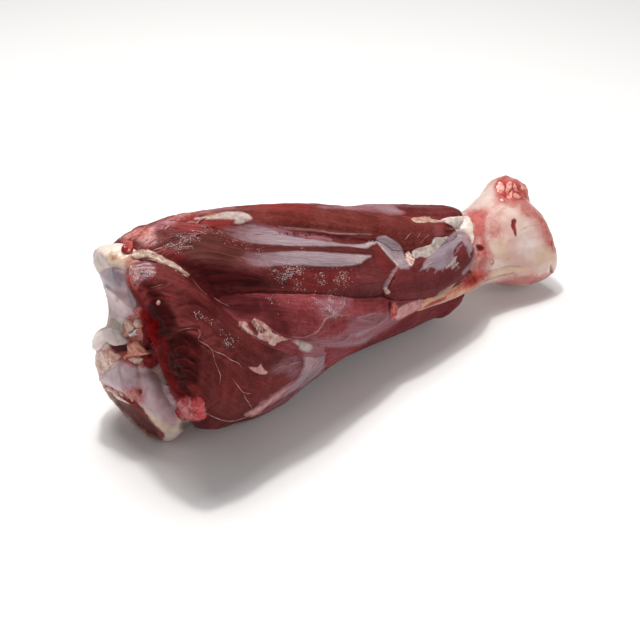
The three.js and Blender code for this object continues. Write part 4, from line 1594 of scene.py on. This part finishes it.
def scatter(skins, name, tree, layer, material, slot, **sizes):
    """What a tree grows on every skin that has a layer, as one piece."""
    made = []
    for piece in skins.values():
        if layer not in piece.data.attributes:
            continue
        surface = piece.data.copy()
        if layer == "torn":
            normals = normals_of(surface)
            set_values(surface, "lie", STRAND_RUN - normals * (normals @ STRAND_RUN)[:, None])
        made.append(tree.grown_on(surface, **sizes))
    new_piece(name, joined(made, name), material)


def make_flecks(skins):
    """Pale crumbs, and pale beads as painted highlights for moist glints, where the photograph shows them,
    and torn strands.
    """
    crumb = tissue_finish("pale_crumbs", (132, 66, 60), (194, 140, 130), 0.26, 0.4)
    # The glints are beads painted near white as highlights, with a glossy coat
    glint = tissue_finish("painted_glints", (255, 232, 228), (255, 255, 255), 0.12, 0.25, 1.0, gloss=0.9)
    strand = tissue_finish("torn_fibres", (150, 70, 70), (206, 150, 148), 0.3, 0.45)
    scatter(skins, "pale_crumbs", fleck_tree(crumb, "crumbs"), "crumbs", crumb, "tendon", **CRUMBS)
    scatter(skins, "painted_glints", fleck_tree(glint, "glints"), "glints", glint, "tendon", **GLINTS)
    scatter(skins, "torn_strands", strand_tree(strand), "torn", strand, "muscle_red")


# Soft lobes with a real thickness

BONE = "bone"
JOINT = "bone front under"
HEAD = "bone banded"
# Each lobe: its nodes, outline, rise in mm, width of its rolled edge in pixels, folds, and lean in mm
JOINT_FAT = [
    (BONE, "95,356 99,350 108,349 117,352 122,356 118,361 111,367 105,374 99,375 96,366",
     1.3, 4.0, ["100,354 104,366", "108,352 110,364"]),
    (BONE, "123,325 126,319 131,318 135,322 136,328 132,333 128,338 123,337 122,331",
     2.6, 3.0, ["125,322 129,334", "130,320 133,330"]),
    (BONE, "134.5,320 138,317 143,318.5 144.5,323 141.5,327 136.5,326.5", 3.0, 3.0, []),
    (BONE, "129,359.5 134,357 140,356.5 144,358 142,361.5 138,364 133,363.5",
     2.0, 3.0, ["133,361 141,359"]),
    (BONE, "106,387 110,386.5 115,390 112,392 107,390", 0.9, 2.0, []),
    (BONE, "113,393 120,391.5 128,394.5 134,398.5 132,404 126,403.5 118,399.5",
     0.8, 3.5, ["116,394 121,398", "125,395 130,402"]),
]
ORANGE_LOBE = [
    (BONE, "128,351 129,344 134,340 140,340 143,344 147,348 153.5,350 148,353.5 141,355.5 131,358.5 "
     "124,358.5 122,356 127,353", 3.4, 4.5, ["135,346 136,352", "139,345 144,351"]),
]
WHITE_SPLINTERS = [
    (BONE, "129,333 133,331 137,327.5 139,329 137,332 140.5,335 136,335 131,337", 2.4, 2.0, []),
    (BONE, "123,357 127,354 129,356 125,359.5", 2.2, 2.0, []),
    (BONE, "93,341 97,334 104,329 113,327 121,327 125,336 130,340 126,345 112,345 107,342 103,349 95,350",
     0.6, 4.0, ["106,331 106,343", "113,329 119,342"], 4.0),
]
BLOODY_LUMPS = [
    (JOINT, "176,402 182,398 188,400 194,396.5 201,396 205,402 203,408 206,413 206,417 199,420 193,418 "
     "186,421 179,419 175,413 178,408",
     1.5, 3.0, ["189,398 188,404 180,410 175,412", "188,404 194,410 206,411", "194,410 190,416 193,421",
                "196,398 199,404", "180,413 187,415"]),
]
CLOTTED_BEAD = [
    (HEAD, "121.5,247 124,242 129,240 133.5,243 134,249 131,254 126,254.5 122,252",
     2.6, 3.5, ["126,245 130,248 128,252"]),
]
KNUCKLE_LUMPS = [
    (BONE, "495,189 496,184 500,181.5 504,184 504.5,190 501,194 497,193", 0.6, 4.0, []),
    (BONE, "504.5,192 505.5,186 508,182 512,181 512,187 509,193 506,196", 0.8, 3.5, []),
    (BONE, "512.5,189 513,184 515,182.5 517,188 520,193 516,192", 0.6, 2.5, []),
    (BONE, "518,188 520,183 525,185 528,191 526,195 522,193", 0.5, 3.5, []),
    (BONE, "505,198 510,191.5 513,191 512,198 508,201", 0.6, 3.0, []),
    (BONE, "513,193 517,193.5 521,198 516,200 512.5,199", 0.6, 2.5, []),
    (BONE, "499,200 502,198 505,201 502,204", 0.7, 2.5, []),
]
WRIST_END = "top wrist far bone"
WRIST_FAT = [
    (WRIST_END, "440.5,221.5 446,218 456,216.5 466,216 470.5,219 473,228 474,240 472,244 468,237 463,232 "
     "457,229 452,226 446,224", 1.9, 4.0, []),
]
WRIST_MEMBRANE = [
    ("top wrist", "411,255 413,250.5 423,247 429.7,244.5 434.7,238 441,238 447,237 437.5,250 431.4,255.5 "
     "426.4,258.5 420,257.5 414.5,259.5", 0.5, 3.0, []),
]
SINEW_CORD = [
    ("bone front banded belly", "130,257 134,252 140,249.5 148,249.5 157,253 166,258.5 176,264 185,270.5 "
     "191,277 185,275.5 177,271 167,266 157,261.5 147,258.5 138,260",
     0.9, 4.5, ["140,254 152,255 166,261.5 178,268"]),
]
# Each kind of lobe: its lobes, seed and slot, darker and lighter tone, roughness, coat and tone of its rim
LOBE_KINDS = {
    "wrist_fat": (WRIST_FAT, 99, "tendon", (232, 210, 198), (250, 238, 230), 0.25, 0.4, 0.15),
    "wrist_membrane": (WRIST_MEMBRANE, 103, "tendon", (168, 150, 144), (202, 188, 180), 0.28, 0.42, 0.15),
    "sinew_cord": (
        SINEW_CORD, 107, "tendon", (168, 128, 114), (216, 190, 176), 0.24, 0.4, 0.15, (146, 84, 78)),
    "joint_fat": (JOINT_FAT, 41, "tendon", (212, 142, 124), (240, 210, 194), 0.2, 0.36, 0.2, (178, 56, 50)),
    "orange_lobe": (
        ORANGE_LOBE, 61, "tendon", (222, 126, 102), (242, 176, 152), 0.14, 0.26, 0.3, (160, 42, 34)),
    "white_splinters": (
        WHITE_SPLINTERS, 65, "tendon", (255, 232, 228), (255, 252, 248), 0.25, 0.4, 0.15, (226, 150, 152)),
    "bloody_lumps": (
        BLOODY_LUMPS, 71, "muscle_red", (168, 14, 28), (214, 76, 84), 0.14, 0.26, 0.25, (124, 6, 16)),
    "clotted_bead": (
        CLOTTED_BEAD, 85, "muscle_red", (150, 34, 30), (196, 92, 84), 0.12, 0.26, 0.3, (120, 16, 18)),
    "knuckle_lumps": (
        KNUCKLE_LUMPS, 91, "bone", (208, 110, 100), (238, 176, 162), 0.12, 0.26, 0.3, (182, 54, 52)),
}
FLAP_STEP = 0.9
FLAP_SINK = 0.9
FLAP_SETTLING = 10
FLAP_WANDER = 0.7
WANDER_SIZE = 2.6
MERGE_GAP = 1e-4
FLAP_SWELL = (0.45, 4.0)
FLAP_GRAIN = (0.4, 1.8)
FOLD_DEPTH = 1.1
FOLD_WIDTH = 1.3


def flap_edges(faces):
    """Every edge of some triangles, and those with one triangle only, each once."""
    runs = np.sort(np.concatenate([faces[:, [0, 1]], faces[:, [1, 2]], faces[:, [2, 0]]]), axis=1)
    edges, counts = np.unique(runs, axis=0, return_counts=True)
    return edges, edges[counts == 1]


def flap_ground(trees, nodes, flat, edges):
    """Where the places of a lobe lie on the skin, evened out, and which way they face."""
    spots = [land(trees, place, nodes_named(nodes)) for place in flat]
    hit = np.array([k for k, spot in enumerate(spots) if spot])
    nearest = hit[np.argmin(np.linalg.norm(flat[:, None] - flat[hit][None], axis=2), axis=1)]
    gaps = np.array([[spots[k][2]] for k in nearest])
    normals = np.array([spots[k][1] for k in nearest])
    for _ in range(FLAP_SETTLING):
        gaps = 0.5 * gaps + 0.5 * neighbour_mean(edges, len(flat), gaps)
        normals = 0.5 * normals + 0.5 * neighbour_mean(edges, len(flat), normals)
    normals /= np.linalg.norm(normals, axis=1)[:, None]
    lines = np.array([picture_ray(place)[1] for place in flat])
    return EYE + lines * gaps, normals


def flap_mesh(trees, seed, nodes, outline, rise, roll, folds, lean=0.0):
    """One closed lobe over an outline, rolled at its edge; lean is how far its foot stands out, in mm."""
    border = rounded(outline, True)
    wander = np.stack([noise(border, WANDER_SIZE, seed + k) for k in (2, 3)], 1)
    border = border + FLAP_WANDER * wander
    low, high = border.min(0), border.max(0)
    across, down = np.meshgrid(np.arange(low[0], high[0], FLAP_STEP), np.arange(low[1], high[1], FLAP_STEP))
    grid = np.stack([across.ravel(), down.ravel()], 1)
    grid = grid[depth_inside(grid, border) > 0.5 * FLAP_STEP]
    wanted = [Vector(place) for place in np.concatenate([border, grid])]
    filled = delaunay_2d_cdt(wanted, [], [list(range(len(border)))], 1, MERGE_GAP)
    flat = np.array([tuple(place) for place in filled[0]])
    faces = np.array([list(face) for face in filled[2]])
    edges, open_edges = flap_edges(faces)
    ground, normals = flap_ground(trees, nodes, flat, edges)
    depth = np.maximum(depth_inside(flat, border), 0.0)
    dome = np.sqrt(np.clip(depth / roll, 0, 1))
    scaled = ground / MM
    swell = waves(scaled, [(*FLAP_SWELL, seed)])
    grain = waves(scaled, [(*FLAP_GRAIN, seed + 1)])
    height = rise * dome * (1 + swell) + dome * grain
    height += lean * dome * (flat[:, 1] - low[1]) / (high[1] - low[1])
    for fold in folds:
        height -= FOLD_DEPTH * dome * np.exp(-((gap_to(flat, rounded(fold, False)) / FOLD_WIDTH) ** 2))
    top = ground + normals * (height * MM)[:, None]
    bottom = ground - normals * FLAP_SINK * MM
    count = len(flat)
    walls = [(a, b, b + count, a + count) for a, b in open_edges]
    mesh = bpy.data.meshes.new("lobe")
    mesh.from_pydata(
        [tuple(point) for point in np.concatenate([top, bottom])], [],
        [tuple(face) for face in faces] + [tuple(face[::-1] + count) for face in faces] + walls)
    set_values(mesh, "rim", np.concatenate([1 - np.clip(depth / roll, 0, 1), np.ones(count)]))
    return mesh


def make_lobes(trees):
    """Every kind of lobe as one piece: fat, sinew and clots round the elbow, the wrist and the knuckle."""
    for name, (lobes, seed, slot, *look) in LOBE_KINDS.items():
        mesh = joined([flap_mesh(trees, seed + 2 * k, *lobe) for k, lobe in enumerate(lobes)], name)
        source = bmesh.new()
        source.from_mesh(mesh)
        bmesh.ops.recalc_face_normals(source, faces=source.faces)
        source.to_mesh(mesh)
        source.free()
        new_piece(name, mesh, tissue_finish(name, *look))


# Light and floor

FLOOR_REACH = 25.0
FLOOR_TONES = ((0.86, 0.86, 0.86, 1), (0.88, 0.88, 0.88, 1))
FLOOR_ROUGHNESS = 0.6
SURROUND = ((1.0, 0.99, 0.98, 1), 0.3)
LIT_PLACE = (0.0, 0.0, 0.07)
WHITE = (1.0, 0.985, 0.96)
# Each light: its place, its width in m, its power and its colour
LIGHTS = {
    "overhead": ((0.0, 0.3, 1.35), 0.9, 15.0, WHITE),
    "key": ((-0.1, 0.15, 1.4), 0.12, 7.5, WHITE),
    "front_fill": ((0.3, -1.3, 0.9), 0.8, 5.0, (1.0, 0.98, 0.97)),
}


def area_light(name, place, size, power, colour):
    """A round soft light that faces the shank."""
    data = bpy.data.lights.new(name, "AREA")
    data.shape = "DISK"
    data.size = size
    data.energy = power
    data.color = colour
    light = bpy.data.objects.new(name, data)
    light.location = place
    run = Vector(LIT_PLACE) - Vector(place)
    light.rotation_euler = run.to_track_quat("-Z", "Y").to_euler()
    bpy.context.collection.objects.link(light)


def make_studio():
    """Pale floor, soft light from above and behind, and a pale surround."""
    finish = Finish("pale_floor")
    tone = finish.mix(finish.noise(finish.place, 3.0), *FLOOR_TONES)
    finish.put(tone, finish.surface.inputs["Base Color"])
    finish.surface.inputs["Roughness"].default_value = FLOOR_ROUGHNESS
    mesh = bpy.data.meshes.new("floor")
    corners = [(x * FLOOR_REACH, y * FLOOR_REACH, 0) for x, y in ((-1, -1), (1, -1), (1, 1), (-1, 1))]
    mesh.from_pydata(corners, [], [(0, 1, 2, 3)])
    mesh.materials.append(finish.material)
    floor = bpy.data.objects.new("floor", mesh)
    bpy.context.collection.objects.link(floor)
    world = bpy.data.worlds.new("surround")
    world.use_nodes = True
    background = world.node_tree.nodes["Background"].inputs
    background["Color"].default_value, background["Strength"].default_value = SURROUND
    bpy.context.scene.world = world
    for name, light in LIGHTS.items():
        area_light(name, *light)
    bpy.context.scene.view_settings.view_transform = "Standard"


make_camera()
make_studio()
FUSED_MESH, FUSED = fused_body()
SKINS = make_muscles_and_bone()
TREES = skin_trees(SKINS)
make_binding_tissue(FUSED_MESH, TREES)
make_threads(TREES)
make_flecks(SKINS)
make_lobes(TREES)
